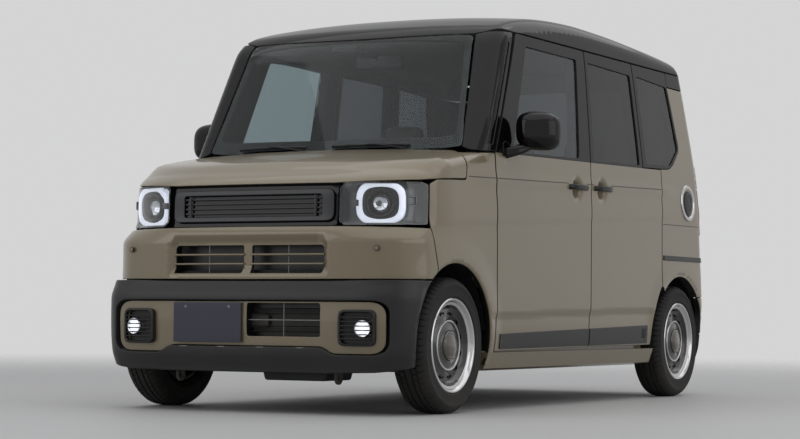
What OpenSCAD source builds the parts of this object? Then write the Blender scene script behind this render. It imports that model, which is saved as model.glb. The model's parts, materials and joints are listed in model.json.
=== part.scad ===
// A kei car: a tall one-box city car with two hinged front doors, two sliding
// rear doors, a bonnet and a top-hinged tailgate.
// Millimetres. +Z is up, the nose points to -Y and the car's left is +X.
// The origin is on the ground, under the middle of the body.

/* [Body] */
// Overall length over the bumpers
body_l = 3395; // [2830:5:4080]
// Width over the doors, without the mirrors
body_w = 1475; // [1230:5:1770]
// Height of the roof's crown
body_h = 1790; // [1500:5:2150]
// Distance between the axles
wheelbase = 2520; // [2100:5:2700]
// Nose to front axle
front_overhang = 464; // [440:1:500]
// Height of the belt line, where the side windows start
belt_z = 1100; // [1060:5:1140]
// Underside of the sills and bumpers
skirt_z = 165; // [140:1:190]
// Thickness of doors, pillars and quarter panels
wall = 60; // [50:1:72]
// Thickness of the fender skins
skin = 6; // [4:0.5:8]
// Gap between a moving panel and its neighbours
seam = 8; // [7:0.5:10]

/* [Doors] */
// Length of a front door, seam to seam
front_door_l = 995; // [860:5:1040]
// Bottom seam of the doors
door_z = 250; // [235:1:270]
// Seam between the door tops and the roof, below the roof's crown
roof_drop = 150; // [130:5:170]
// Thickness of the window glass
glass_t = 5; // [4:0.5:7]
// Depth of the glass under the body's surface
glass_in = 12; // [8:1:16]
// Radius of a hinge pin
pin_r = 4; // [3.5:0.5:5]

/* [Wheels] */
// Outer radius of a tyre
tyre_r = 278.5; // [255:0.5:290]
// Width of a tyre
tyre_w = 155; // [135:1:165]
// Radius of the rim that the tyre sits on
rim_r = 178; // [165:1:195]
// Distance between the middles of the two tyres of an axle
track = 1305; // [1270:5:1320]
// Radius of the wheel arches
arch_r = 330; // [325:1:345]
// Radius of a stub axle
stub_r = 20; // [15:1:24]

/* [Hidden] */
$fn = 48;

// ---- derived places ----
hw = body_w / 2;
y0 = -body_l / 2;
y1 = body_l / 2;
yf = y0 + front_overhang;
yr = yf + wheelbase;
half = seam / 2;
fit = 0.3;      // clearance of pieces that seat in each other
run = 0.2;      // radial clearance of a pin in its bore
door_y = yf + 389;                  // front seam of the front doors
b_y = door_y + front_door_l;        // seam between front and sliding door
c_y = yr - 251;                     // rear seam of the sliding doors
roof_z = body_h - roof_drop;        // seam under the roof
gate_y = y1 - 268;                  // seam between roof and tailgate
gate_x = hw - 92;                   // half the tailgate's width
bumper_z = 500;                     // top of the rear bumper
guard_z = 542;                      // top of the front bumper's black guard
lamp_z0 = 762;                      // headlamps, lower and upper edge
lamp_z1 = 932;
bonnet_side_z = 966;                // bonnet seam where it ends at the side
floor_z = 290;                      // top of the cabin floor
load_z = 520;                       // top of the load floor
floor_t = 40;
step_y = yr - arch_r - 8;           // where the floor steps up

// windscreen: foot and head on the centre line
ws_y = y0 + 622;
ws_z = belt_z - 5;
ws_top_z = roof_z;
ws_slope = 62.7;
ws_top_y = ws_y + (ws_top_z - ws_z) / tan(ws_slope);
ws_foot_x = hw - 106;               // half width of the glass at its foot
ws_head_x = hw - 174;               // and at its head
ws_bulge_r = 2460;                  // radius of the glass across the car

// front door's leading edge leans back above the belt, with the windscreen
lean = (ws_top_y - ws_y) / (ws_top_z - ws_z) * 1.03;
lean_dy = (roof_z - belt_z) * lean;

// ---- outlines ----
function signed_area(p) = let (n = len(p))
  [for (i = [0:n - 1]) p[i].x * p[(i + 1) % n].y - p[(i + 1) % n].x * p[i].y]
  * [for (i = [0:n - 1]) 1];

// the outline p moved inwards by d, with mitred corners
function shrink(p, d) = let (n = len(p), s = signed_area(p) > 0 ? 1 : -1)
  [for (i = [0:n - 1])
    let (a = p[(i + n - 1) % n], b = p[i], c = p[(i + 1) % n],
         u = (b - a) / norm(b - a), v = (c - b) / norm(c - b),
         n1 = [u.y, -u.x] * s, n2 = [v.y, -v.x] * s)
    b - (n1 + n2) * d / (1 + n1 * n2)];

function mirrored(p) = [for (q = p) q, for (i = [len(p) - 1:-1:0]) if (abs(p[i].x) > 0.01) [-p[i].x, p[i].y]];
function upper_z(share) = belt_z + share * (body_h - belt_z);

// the body seen from its side, as [y, z]
crown_y = yf + 1434;
roof_y = y1 - 196;                  // rear edge of the roof
function roof_line(y) = y < crown_y
  ? body_h - 140 * pow((crown_y - y) / (crown_y - ws_top_y), 2)
  : body_h - 65 * pow((y - crown_y) / (roof_y - crown_y), 2.2);
side_line = [
  [y0 + 75, skirt_z], [y0 + 22, skirt_z + 50], [y0 + 2, skirt_z + 135], [y0, 400],
  [y0 + 2, 480], [y0 + 14, guard_z + 3], [y0 + 24, guard_z + 18], [y0 + 30, 720],
  [y0 + 42, 900], [y0 + 52, 940], [y0 + 80, 985], [y0 + 135, 1018],
  [y0 + 300, 1052], [ws_y - 60, ws_z - 3], [ws_y, ws_z],
  for (k = [0:5]) let (y = ws_top_y + (crown_y - ws_top_y) * k / 6) [y, roof_line(y)],
  for (k = [0:5]) let (y = crown_y + (roof_y - crown_y) * k / 5) [y, roof_line(y)],
  [y1 - 194, upper_z(0.783)], [y1 - 137, upper_z(0.435)], [y1 - 77, upper_z(0.0725)],
  [y1 - 37, 900], [y1 - 17, 700], [y1, 600], [y1, skirt_z + 165], [y1 - 12, skirt_z + 65], [y1 - 70, skirt_z]];

// the body seen from the front, as [x, z]
front_half = [
  [0, skirt_z], [hw - 117, skirt_z], [hw - 38, skirt_z + 13], [hw - 14, skirt_z + 85],
  [hw - 3, skirt_z + 165], [hw, skirt_z + 265], [hw, 720], [hw - 3, 900], [hw - 5, 1000],
  [hw - 7, belt_z], [hw - 15, upper_z(0.174)], [hw - 32, upper_z(0.435)],
  [hw - 45, upper_z(0.638)], [hw - 50, upper_z(0.725)], [hw - 66, upper_z(0.812)],
  [hw - 98, upper_z(0.87)], [hw - 148, upper_z(0.91)], [hw - 238, upper_z(0.945)],
  [hw - 438, upper_z(0.986)], [0, body_h]];
front_line = mirrored(front_half);

// the body seen from above, as [x, y]: low, at the bumpers, and high, at the lamps
tail_half = [[hw, y1 - 180], [hw - 12, y1 - 110], [hw - 47, y1 - 50], [hw - 117, y1 - 18],
  [hw - 337, y1 - 5], [0, y1]];
low_half = [[0, y0], [hw - 437, y0 + 5], [hw - 187, y0 + 22], [hw - 97, y0 + 50],
  [hw - 37, y0 + 105], [hw - 9, y0 + 180], [hw, y0 + 270], each tail_half];
high_half = [[0, y0 + 25], [hw - 487, y0 + 30], [hw - 307, y0 + 48], [hw - 177, y0 + 85],
  [hw - 97, y0 + 140], [hw - 47, y0 + 215], [hw - 19, y0 + 310], [hw - 3, y0 + 420],
  [hw, y0 + 520], each tail_half];
low_line = mirrored(low_half);
high_line = mirrored(high_half);

// ---- extrusions along each axis ----
module along_x(xa, xb) translate([xa, 0, 0]) rotate([90, 0, 90]) linear_extrude(xb - xa) children();
module along_y(ya, yb) translate([0, yb, 0]) rotate([90, 0, 0]) linear_extrude(yb - ya) children();
module box(lo, hi) translate(lo) cube(hi - lo);
module both() { children(); mirror([1, 0, 0]) children(); }
module rod_x(p, l, r) translate(p) rotate([0, 90, 0]) cylinder(r = r, h = l);
module rod_z(p, l, r) translate(p) cylinder(r = r, h = l);

far = 2 * max(body_l, body_w, body_h);

// the whole body as a solid, d under its surface
module bulk(d, plan) intersection() {
  along_x(-far, far) polygon(shrink(side_line, d));
  along_y(-far, far) polygon(shrink(front_line, d));
  translate([0, 0, -far]) linear_extrude(2 * far) polygon(shrink(plan, d));
}

// everything behind the curved windscreen's surface, d under it
module behind_screen(d)
  translate([0, ws_y, ws_z]) rotate([90 + ws_slope, 0, 0]) translate([0, 0, -far / 2])
    linear_extrude(far) polygon([
      for (k = [-10:10]) let (x = k * hw / 9) [x, -x * x / (2 * ws_bulge_r) - d],
      [hw * 10 / 9, -far], [-hw * 10 / 9, -far]]);

module shell(d0, d1, plan = high_line) difference() { bulk(d0, plan); bulk(d1, plan); }
module cabin_shell(d0, d1) difference() {
  intersection() { bulk(d0, high_line); behind_screen(d0); }
  intersection() { bulk(d1, high_line); behind_screen(d1); }
}
module side_cut(outline) along_x(0, far) polygon(outline);
module arch(y, r, xa, xb) rod_x([xa, y, tyre_r], xb - xa, r);

// a point on the leaning line of the front door's edge
function edge_y(z) = door_y + max(0, z - belt_z) * lean;

// ---- door outlines, as [y, z] on the seams ----
front_door_line = [[door_y, door_z], [door_y, belt_z], [edge_y(roof_z), roof_z],
  [b_y + 20, roof_z], [b_y, belt_z - 100], [b_y, door_z]];
// the rear seam stands ahead of the quarter window and steps back along the belt
step_z = belt_z + 34;
sliding_door_line = [[b_y, door_z], [b_y, belt_z - 100], [b_y + 26, roof_z],
  [c_y - 285, roof_z], [c_y - 235, step_z], [c_y, step_z], [c_y, door_z]];
door_arch_r = arch_r + 55;          // the sliding door's edge round the rear arch

window_top_z = roof_z - 40;
front_window = [[edge_y(belt_z) + 150, belt_z + 12], [edge_y(window_top_z) + 110, window_top_z],
  [b_y - 112, window_top_z + 4], [b_y - 172, belt_z + 24]];
sliding_window = [[b_y + 50, belt_z + 38], [b_y + 52, window_top_z - 14],
  [c_y - 315, window_top_z - 24], [c_y - 272, belt_z + 50]];
quarter_window = [[c_y - 190, belt_z + 50], [c_y - 240, window_top_z - 16],
  [c_y + 162, window_top_z - 36], [c_y + 255, belt_z + 146], [c_y + 136, belt_z + 59]];
vent_window = [[edge_y(belt_z) - 102, belt_z + 22], [edge_y(belt_z) - 36, belt_z + 22],
  [edge_y(window_top_z) - 40, window_top_z], [edge_y(window_top_z) - 84, window_top_z]];

// ---- hinges of the front doors ----
hinge_x = hw - 19;
hinge_y = door_y + half - 50;
hinge_zs = [430, 800];
barrel_r = pin_r + 3;
barrel_h = 44;
// the swan neck that leads round the fender's edge, seen from above
neck = [[-5, 3], [12, 50], [20, 56], [51, 50], [51, 32], [24, 44], [5, -1]];

module door_arm(z) difference() {
  translate([hinge_x, hinge_y, z - barrel_h / 2]) {
    cylinder(r = barrel_r, h = barrel_h);
    rotate([0, 0, 90]) linear_extrude(barrel_h) polygon(neck);
  }
  rod_z([hinge_x, hinge_y, z - barrel_h], 2 * barrel_h, pin_r + run);
}
module door_bracket(z) {
  rod_z([hinge_x, hinge_y, z - barrel_h / 2 - 12], barrel_h + 24, pin_r);
  for (s = [-1, 1])
    box([hw - 84, hinge_y - 9, z + s * (barrel_h / 2 + 6.3) - 6], [hinge_x + 5, hinge_y + 9, z + s * (barrel_h / 2 + 6.3) + 6]);
}

// ---- structure ----
module floor_pan() color("dimgray") {
  floor();
  firewall();
  both() bonnet_bracket();
}
module floor() along_x(-(hw - 178), hw - 178)
  polygon([[door_y - 60, floor_z - floor_t], [step_y, floor_z - floor_t], [step_y, load_z - floor_t],
    [y1 - 120, load_z - floor_t], [y1 - 120, 330], [y1 - 96, 330], [y1 - 96, load_z], [step_y - floor_t, load_z],
    [step_y - floor_t, floor_z], [door_y - 60, floor_z]]);

module sills() color("tan") both() intersection() {
  union() {
    intersection() {
      bulk(0, low_line);
      box([hw - 178 + fit, door_y - 59 + fit, 0], [far, step_y, door_z - half]);
    }
    box([hw - 178 + fit, door_y + half, door_z - half - 1], [hw - wall - 22, step_y, floor_z + 20]);
  }
  difference() { box([0, y0, 0], [far, y1, body_h]); arch(yf, arch_r, 0, hw * 2); arch(yr, arch_r, 0, hw * 2); }
}

module front_pillar() {
  intersection() {
    behind_screen(0);
    side_cut([[door_y - 400, belt_z - 16], [edge_y(belt_z) - half, belt_z - 16], [edge_y(belt_z) - half, belt_z],
      [edge_y(roof_z) - half, roof_z + half - fit], [door_y - 400, roof_z + half - fit]]);
    along_y(door_y - 300, door_y + 500) polygon([[ws_foot_x, ws_z - 60], [ws_foot_x, ws_z], [ws_head_x, ws_top_z],
      [ws_head_x, ws_top_z + 100], for (k = [14:-1:9]) front_half[k], [hw - 6, belt_z - 60]]);
  }
  // hinge pillar, from the floor to the foot of the windscreen pillar
  box([hw - 152 + fit, door_y - 60, door_z - half + fit], [hw - 84, door_y - 10, belt_z - 20]);
  box([hw - 152 + fit, door_y - 60, belt_z - 80], [hw - 30, door_y - 10, belt_z - 15]);
  for (z = hinge_zs) door_bracket(z);
}
module centre_pillar() intersection() {
  along_y(b_y - 42, b_y + 48) polygon([for (k = [2:14]) front_half[k] - [wall + seam, 0],
    for (k = [14:-1:2]) front_half[k] - [wall + seam + 34, 0]]);
  box([hw - wall - 180, b_y - 60, floor_z + 20 + fit], [hw, b_y + 60, roof_z + half]);
}
module pillars() color("black") both() {
  difference() {
    front_pillar();
    side_cut(vent_window);
  }
  centre_pillar();
}

module hinge_pocket(x) box([x - 34, gate_hinge_y - 22, gate_hinge_z - 84], [x + 34, gate_y + 60, gate_hinge_z + 10]);
module roof() color("black") {
  difference() {
    intersection() {
      cabin_shell(0, 46);
      along_x(-far, far) polygon([[y0, roof_z + half], [gate_y - half, roof_z + half],
        [gate_y - half, body_h + 50], [y0, body_h + 50]]);
    }
    for (x = gate_hinge_xs) hinge_pocket(x);
  }
  // rear header that carries the tailgate's hinges
  intersection() {
    bulk(46 - 1, high_line);
    difference() {
      box([-gate_x, gate_y - 96, roof_z + half], [gate_x, gate_y - 74, body_h]);
      box([-gate_x - 1, gate_y - 97, 0], [gate_x + 1, gate_y - 73, roof_z + half]);
    }
  }
  for (x = gate_hinge_xs) gate_bracket(x);
}

// ---- rear quarter ----
module quarter_panels() color("tan") both() {
  difference() {
    intersection() {
      shell(0, wall);
      union() {
        side_cut([[c_y + half, tyre_r], [c_y + half, step_z + half], [c_y - 235 + half, step_z + half],
          [c_y - 285 + half, roof_z + half - fit], [y1, roof_z + half - fit],
          [y1 + 1, bumper_z + fit], [yr + arch_r - 20, bumper_z + fit], [yr + arch_r - 20, tyre_r]]);
        intersection() {
          rod_x([0, yr, tyre_r], far, door_arch_r - seam);
          box([0, step_y, door_z + 20], [far, yr, body_h]);
        }
      }
    }
    arch(yr, arch_r, 0, 2 * hw);
    side_cut(quarter_window);
    box([-1, gate_y - 20, 0], [gate_x + half, y1 + 5, body_h + 1]);
    tail_lamp_space(fit);
    difference() { rod_x([hw - 14, yr + 102, 984], 40, 92); rod_x([hw - 20, yr + 102, 984], 60, 80); }
  }
  // wheelhouse
  intersection() {
    difference() { arch(yr, arch_r + 26, hw - 165, hw - wall + 2); arch(yr, arch_r + 14, hw - 164.5, hw); }
    box([0, step_y + 8, load_z - 60], [hw, yr + arch_r + 40, load_z + 300]);
  }
  intersection() {
    arch(yr, arch_r + 26, hw - 178 + fit, hw - 164);
    box([0, step_y + 8, load_z - 60], [hw, yr + arch_r + 40, load_z + 300]);
  }
}
module tail_lamp_space(d) intersection() {
  shell(0, 44);
  box([gate_x + half - 1, y1 - 190, 812 - d], [hw + 1, y1, 1192 + d]);
}
module tail_lamps() color("firebrick") both() intersection() {
  shell(0, 44 - fit);
  box([gate_x + half + fit, y1 - 190 + fit, 812], [hw + 1, y1, 1192]);
}

// ---- front structure ----
module firewall() along_x(-(hw - 152), hw - 152)
  polygon([[door_y - 94, skirt_z + 60], [door_y - 59, skirt_z + 60], [door_y - 59, ws_z - 50],
    [door_y - 195, ws_z - 50], [door_y - 195, ws_z - 80], [door_y - 94, ws_z - 80]]);

// everything behind a line d ahead of the windscreen's foot
module behind_foot(d, depth) linear_extrude(body_h) polygon([
  for (k = [-8:8]) let (x = k * hw / 8) [x, ws_y - d + x * x / (2 * ws_bulge_r)],
  [hw, ws_y + depth], [-hw, ws_y + depth]]);
module cowl() color("black") intersection() {
  box([48 - bonnet_hinge_x, ws_y - 30, ws_z - 50 + fit], [bonnet_hinge_x - 48, door_y - 150, ws_z - 20]);
  behind_foot(26, 400);
}

bonnet_hinge_y = ws_y + 50;
bonnet_hinge_z = ws_z - 5;
bonnet_hinge_x = hw - 190;
bonnet_line = [[y0 - 10, lamp_z1 + half], [y0 + 320, lamp_z1 + half + 10], [ws_y - 95, bonnet_side_z + half],
  [ws_y + 29, ws_z - 1], [y0 - 10, ws_z - 1]];

module bonnet() color("tan") difference() {
  union() {
    intersection() {
      shell(0, 26);
      along_x(-far, far) polygon(bonnet_line);
      // the rear edge runs parallel to the windscreen's foot
      translate([0, 0, lamp_z1 - 50]) linear_extrude(400) polygon([[-hw - 20, y0 - 20],
        for (k = [-8:8]) let (x = k * hw / 8) [x, ws_y - 34 + x * x / (2 * ws_bulge_r)],
        [hw + 20, y0 - 20]]);
    }
    both() bonnet_arm();
  }
}
module bonnet_arm() difference() {
  union() {
    rod_x([bonnet_hinge_x - 20, bonnet_hinge_y, bonnet_hinge_z], 40, barrel_r);
    along_x(bonnet_hinge_x - 12, bonnet_hinge_x + 12) polygon([
      [bonnet_hinge_y, bonnet_hinge_z - 6], [bonnet_hinge_y, bonnet_hinge_z + 3],
      [bonnet_hinge_y - 30, bonnet_hinge_z - 4], [bonnet_hinge_y - 70, bonnet_hinge_z - 8],
      [bonnet_hinge_y - 70, bonnet_hinge_z - 30], [bonnet_hinge_y - 34, bonnet_hinge_z - 30]]);
  }
  rod_x([bonnet_hinge_x - 40, bonnet_hinge_y, bonnet_hinge_z], 80, pin_r + run);
}

module bonnet_bracket() {
  rod_x([bonnet_hinge_x - 33, bonnet_hinge_y, bonnet_hinge_z], 66, pin_r);
  for (s = [-1, 1]) box([bonnet_hinge_x + s * 29 - 4, bonnet_hinge_y - 8, ws_z - 51],
    [bonnet_hinge_x + s * 29 + 4, bonnet_hinge_y + 8, bonnet_hinge_z + 5]);
}
module fenders() color("tan") both() {
  difference() {
    intersection() {
      shell(0, skin);
      side_cut([[yf + arch_r + 10, skirt_z + 6], [door_y - half, skirt_z + 6], [door_y - half, belt_z - 16 - fit],
        [ws_y + 70, belt_z - 16 - fit], [ws_y - 95 + 6, bonnet_side_z - half], [y0 + 300, lamp_z1 + half + 2],
        [y0 + 300, lamp_z0 - half], [yf - 190, lamp_z0 - 100], [yf - 190, guard_z]]);
    }
    arch(yf, arch_r, 0, 2 * hw);
    box([0, yf + arch_r - 40, 0], [hw + 1, door_y, door_z - half + fit]);
  }
  // flange that bolts to the hinge pillar
  box([hw - 30 + fit, door_y - 56, belt_z - 70], [hw - 8, door_y - 20, belt_z - 44]);
  // arch liner
  intersection() {
    difference() { arch(yf, arch_r + 8, hw - 190, hw - 12); arch(yf, arch_r, 0, hw); }
    box([0, yf - 190, tyre_r + 40], [hw, door_y - 94 - fit, tyre_r + arch_r + 20]);
  }
}

// ---- nose ----
grille_x = 402;
module grille() color("black") difference() {
  intersection() {
    shell(4, 44);
    along_y(y0 - 10, y0 + 240) polygon([[-grille_x, lamp_z0], [grille_x, lamp_z0],
      [grille_x, lamp_z1 - 12], [-grille_x, lamp_z1 - 12]]);
  }
  along_y(y0 - 10, y0 + 45) polygon([[-328, lamp_z0 + 30], [328, lamp_z0 + 30], [328, lamp_z1 - 42], [-328, lamp_z1 - 42]]);
}
module headlamps() both() intersection() {
  shell(2.1, 66);
  box([grille_x + fit, y0 - 10, lamp_z0], [hw + 5, y0 + 300 - half, lamp_z1]);
}
insert_x = 612;
module insert_line(d) polygon([[-insert_x + 30, 242 + d], [-408, 242 + d], [-362, 272 + d], [362, 272 + d], [408, 242 + d],
  [insert_x - 30, 242 + d], [insert_x - d, 272], [insert_x - d, 425], [insert_x - 30, 453 - d],
  [-insert_x + 30, 453 - d], [-insert_x + d, 425], [-insert_x + d, 272]]);

module plate_holes(y, z) for (x = [-105, 105])
  translate([plate_x + x, y, z + plate_h / 2 - 18]) rotate([-90, 0, 0]) cylinder(r = 3.3, h = 40);
plate_x = -175;
plate_w = 330;
plate_h = 165;
plate_z = 364;

module front_bumper() color("tan") difference() {
  union() {
    intersection() {
      shell(0, 24);
      along_x(-far, far) polygon([[y0 - 20, guard_z], [yf - 190 - fit, guard_z], [yf - 190 - fit, lamp_z0 - 100],
        [y0 + 300 - 0.5, lamp_z0 - half], [y0 + 300 - 0.5, lamp_z0 - fit], [y0 - 20, lamp_z0 - fit]]);
    }
    intersection() {
      shell(14, 54, low_line);
      along_y(y0 - 20, y0 + 150) insert_line(fit);
    }
    box([plate_x - plate_w / 2, y0 + 6, plate_z - plate_h / 2], [plate_x + plate_w / 2, y0 + 22, plate_z + plate_h / 2]);
  }
  arch(yf, arch_r, 0, 2 * hw);
  mirror([1, 0, 0]) arch(yf, arch_r, 0, 2 * hw);
  // upper grille slots
  for (s = [-1, 1], k = [0:2])
    box([s > 0 ? 22 : -350, y0 - 20, 572 + 36 * k], [s > 0 ? 350 : -22, y0 + 90, 599 + 36 * k]);
  // lower air intake
  box([14, y0 - 20, 310], [352, y0 + 110, 446]);
  plate_holes(y0 - 2, plate_z);
  both() fog_space(0);
}
module bumper_guard() color("black") difference() {
  intersection() {
    shell(0, 42, low_line);
    box([-hw - 5, y0 - 20, 0], [hw + 5, yf - 190 - fit, guard_z - fit]);
  }
  arch(yf, arch_r, 0, 2 * hw);
  mirror([1, 0, 0]) arch(yf, arch_r, 0, 2 * hw);
  along_y(y0 - 40, y0 + 150) insert_line(0);
  box([117 - hw, y0 + 66, 0], [hw - 117, yf, 320]);
}
fog_x = 524;
module fog_space(d) box([fog_x - 80 + d, y0 - 10, 278 + d], [fog_x + 80 - d, y0 + 120, 418 - d]);
module fog_lamps() both() intersection() {
  shell(6, 52, low_line);
  fog_space(fit);
}

module front_lamps() color("white") { headlamps(); fog_lamps(); }

// ---- glass ----
module windscreen() color("lightblue", 0.4) intersection() {
  cabin_shell(4, 4 + glass_t);
  along_y(-far, gate_y - 500) polygon([[-ws_foot_x + 2 * fit, ws_z + 2], [ws_foot_x - 2 * fit, ws_z + 2],
    [ws_head_x - 3 * fit, ws_top_z + half - fit], [-ws_head_x + 3 * fit, ws_top_z + half - fit]]);
}
module pane(outline) intersection() {
  shell(glass_in, glass_in + glass_t);
  side_cut(shrink(outline, fit));
}
module side_windows() color("lightblue", 0.4) both() {
  pane(sliding_window);
  pane(quarter_window);
  intersection() { cabin_shell(glass_in, glass_in + glass_t); side_cut(shrink(vent_window, fit));
    along_y(-far, far) polygon([[ws_head_x + 30, 0], [ws_head_x + 30, body_h], [far, body_h], [far, 0]]); }
}
module front_door_glass() color("lightblue", 0.4) pane(front_window);

// ---- doors ----
module door_handle(y) {
  rod_x([hw - 10, y - 70, 992], 18, 9);
  rod_x([hw - 10, y + 70, 992], 18, 9);
  box([hw + 3, y - 100, 981], [hw + 16, y + 100, 1003]);
}
module front_door() color("tan") {
  difference() {
    intersection() {
      shell(0, wall);
      side_cut(shrink(front_door_line, half));
    }
    side_cut(front_window);
  }
  for (z = hinge_zs) door_arm(z);
  door_handle(b_y - 165);
}
module sliding_door() color("tan") {
  difference() {
    intersection() {
      shell(0, wall);
      side_cut(shrink(sliding_door_line, half));
    }
    side_cut(sliding_window);
    arch(yr, door_arch_r, 0, 2 * hw);
  }
  door_handle(b_y + 165);
  // upper and lower rollers that hang the door on the body
  box([hw - wall - 23, b_y + 90, floor_z + 20 + fit], [hw - wall + 2, b_y + 150, floor_z + 60]);
  box([hw - wall - 22 + fit, b_y + 90, floor_z - 4], [hw - wall - 16 + fit, b_y + 150, floor_z + 60]);
}

// ---- mirrors ----
mirror_y = door_y + 195;
module door_mirror() color("black") {
  box([hw - 5.9, door_y + 60, belt_z - 34], [hw + 30, door_y + 150, belt_z + 2]);
  box([hw + 4, door_y + 80, belt_z - 20], [hw + 50, door_y + 160, belt_z + 60]);
  difference() {
    translate([hw + 8, mirror_y - 62, belt_z + 44]) cube([186, 118, 146]);
    translate([hw + 190, mirror_y - 90, belt_z + 120]) rotate([0, 0, -32]) cube([200, 90, 200], center = true);
    translate([hw + 18, mirror_y + 50, belt_z + 54]) cube([166, 10, 126]);
  }
}

// ---- tailgate ----
gate_hinge_xs = [-400, 400];
gate_hinge_y = gate_y + half - 50;
gate_hinge_z = roof_line(gate_hinge_y) - 34;
module gate_arm(x) difference() {
  translate([x - 20, gate_hinge_y, gate_hinge_z]) rotate([0, 90, 0]) {
    cylinder(r = barrel_r, h = 40);
    linear_extrude(40) polygon([for (q = [[-5, 3], [4, 60], [12, 66], [82, 62], [82, 50], [14, 54], [5, -1]]) [q.y, q.x]]);
  }
  rod_x([x - 40, gate_hinge_y, gate_hinge_z], 80, pin_r + run);
}
module gate_bracket(x) {
  rod_x([x - 33, gate_hinge_y, gate_hinge_z], 66, pin_r);
  for (s = [-1, 1]) box([x + s * 27 - 6, gate_y - 84, gate_hinge_z - 10], [x + s * 27 + 6, gate_hinge_y + 9, gate_hinge_z + 14]);
}
gate_window = [[-gate_x + 90, belt_z + 10], [gate_x - 90, belt_z + 10],
  [gate_x - 120, roof_z - 60], [-gate_x + 120, roof_z - 60]];
rear_plate_z = 640;
module tailgate() color("tan") {
  difference() {
    union() {
      intersection() {
        shell(0, wall);
        box([-gate_x + half, gate_y + half, bumper_z + seam + 6], [gate_x - half, y1 + 5, body_h + 5]);
      }
      box([-plate_w / 2, y1 - 30, rear_plate_z - plate_h / 2], [plate_w / 2, y1 - 2, rear_plate_z + plate_h / 2]);
    }
    along_y(gate_y, y1) polygon(gate_window);
    rod_x([-hw, gate_hinge_y, gate_hinge_z], 2 * hw, 57);
    for (x = [-105, 105]) translate([x, y1 - 32, rear_plate_z + plate_h / 2 - 18]) rotate([-90, 0, 0]) cylinder(r = 3.3, h = 40);
  }
  for (x = gate_hinge_xs) gate_arm(x);
}
module tailgate_window() color("lightblue", 0.4) intersection() {
  shell(glass_in, glass_in + glass_t);
  along_y(gate_y, y1) polygon(shrink(gate_window, fit));
}
module rear_bumper() color("tan") difference() {
  intersection() {
    shell(0, 42, low_line);
    box([-hw - 5, yr + arch_r - 40, 0], [hw + 5, y1 + 5, bumper_z]);
  }
  arch(yr, arch_r, 0, 2 * hw);
  mirror([1, 0, 0]) arch(yr, arch_r, 0, 2 * hw);
  both() box([0, 0, 0], [hw + 1, yr + arch_r - 20 + fit, body_h]);
  box([117 - hw, yr, 0], [hw - 117, y1 - 78, 320]);
}

// ---- running gear ----
wheel_x = track / 2;
king_x = wheel_x - 12;
king_r = 10;
tie_x = 380;
beam_z = tyre_r - 63.5;             // top of the front cross member
eye_z = skirt_z - 19;               // middle of a tie-down eye
module front_suspension() color("dimgray") {
  box([-430, yf - 60, tyre_r - 108], [430, yf + 60, beam_z]);
  both() {
    box([420, yf - 34, tyre_r - 113], [king_x + 18, yf + 34, tyre_r - 92]);
    rod_z([king_x, yf, tyre_r - 98], 40, king_r);
    // strut, with the arm that holds the knuckle's upper pivot
    rod_z([hw - 225, yf, tyre_r + 120], 330, 24);
    box([hw - 225, yf - 15, tyre_r + 120], [king_x + 15, yf + 15, tyre_r + 136]);
    rod_z([king_x, yf, tyre_r + 94], 30, king_r);
    box([400, yf - 20, tyre_r - 98], [hw - 205, yf + 20, tyre_r + 142]);
  }
  // front cross beam with two tie-down eyes
  box([-420, y0 + 72, 330], [420, y0 + 112, 420]);
  box([-90, y0 + 56, 346], [90, y0 + 73, 404]);
  both() {
    box([tie_x - 40, y0 + 100, beam_z - 25], [tie_x + 10, yf - 59, beam_z + 25]);
    box([tie_x - 40, y0 + 84, beam_z - 25], [tie_x + 10, y0 + 112, 340]);
    difference() {
      hull() {
        rod_x([tie_x - 5, y0 + 128, eye_z], 10, 27);
        rod_x([tie_x - 5, y0 + 128, 210], 10, 27);
      }
      rod_x([tie_x - 20, y0 + 128, eye_z], 60, 14);
    }
  }
}
module knuckle() color("gray") difference() {
  union() {
    box([king_x - 30, yf - 30, tyre_r - 86], [king_x + 26, yf + 30, tyre_r + 114]);
    rod_x([king_x, yf, tyre_r], wheel_x + 62 - king_x, stub_r);
    box([king_x - 60, yf + 20, tyre_r - 56], [king_x - 10, yf + 48, tyre_r - 38]);
  }
  rod_z([king_x, yf, tyre_r - 98], 42, king_r + run);
  rod_z([king_x, yf, tyre_r + 92], 42, king_r + run);
}
module rear_axle() color("dimgray") {
  rod_x([-(hw - 190), yr - 130, tyre_r - 28], 2 * (hw - 190), 30);
  both() {
    box([hw - 216, step_y + fit, tyre_r - 53], [hw - 180, yr + 30, tyre_r + 22]);
    rod_x([hw - 190, yr, tyre_r], wheel_x + 62 - hw + 190, stub_r);
    // damper
    rod_z([hw - 198, yr + 10, tyre_r + 12], load_z - floor_t - tyre_r - 12 - fit, 17);
  }
}
module tyre(side, y) color("black") translate([side * wheel_x, y, tyre_r]) rotate([0, 90, 0]) rotate_extrude()
  polygon([[rim_r + run, -tyre_w / 2 + 22], [rim_r + 22, -tyre_w / 2 + 4], [rim_r + 45, -tyre_w / 2],
    [tyre_r - 30, -tyre_w / 2 + 3], [tyre_r - 6, -tyre_w / 2 + 16], [tyre_r, -tyre_w / 2 + 34],
    [tyre_r, tyre_w / 2 - 34], [tyre_r - 6, tyre_w / 2 - 16], [tyre_r - 30, tyre_w / 2 - 3],
    [rim_r + 45, tyre_w / 2], [rim_r + 22, tyre_w / 2 - 4], [rim_r + run, tyre_w / 2 - 22]]);
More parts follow.
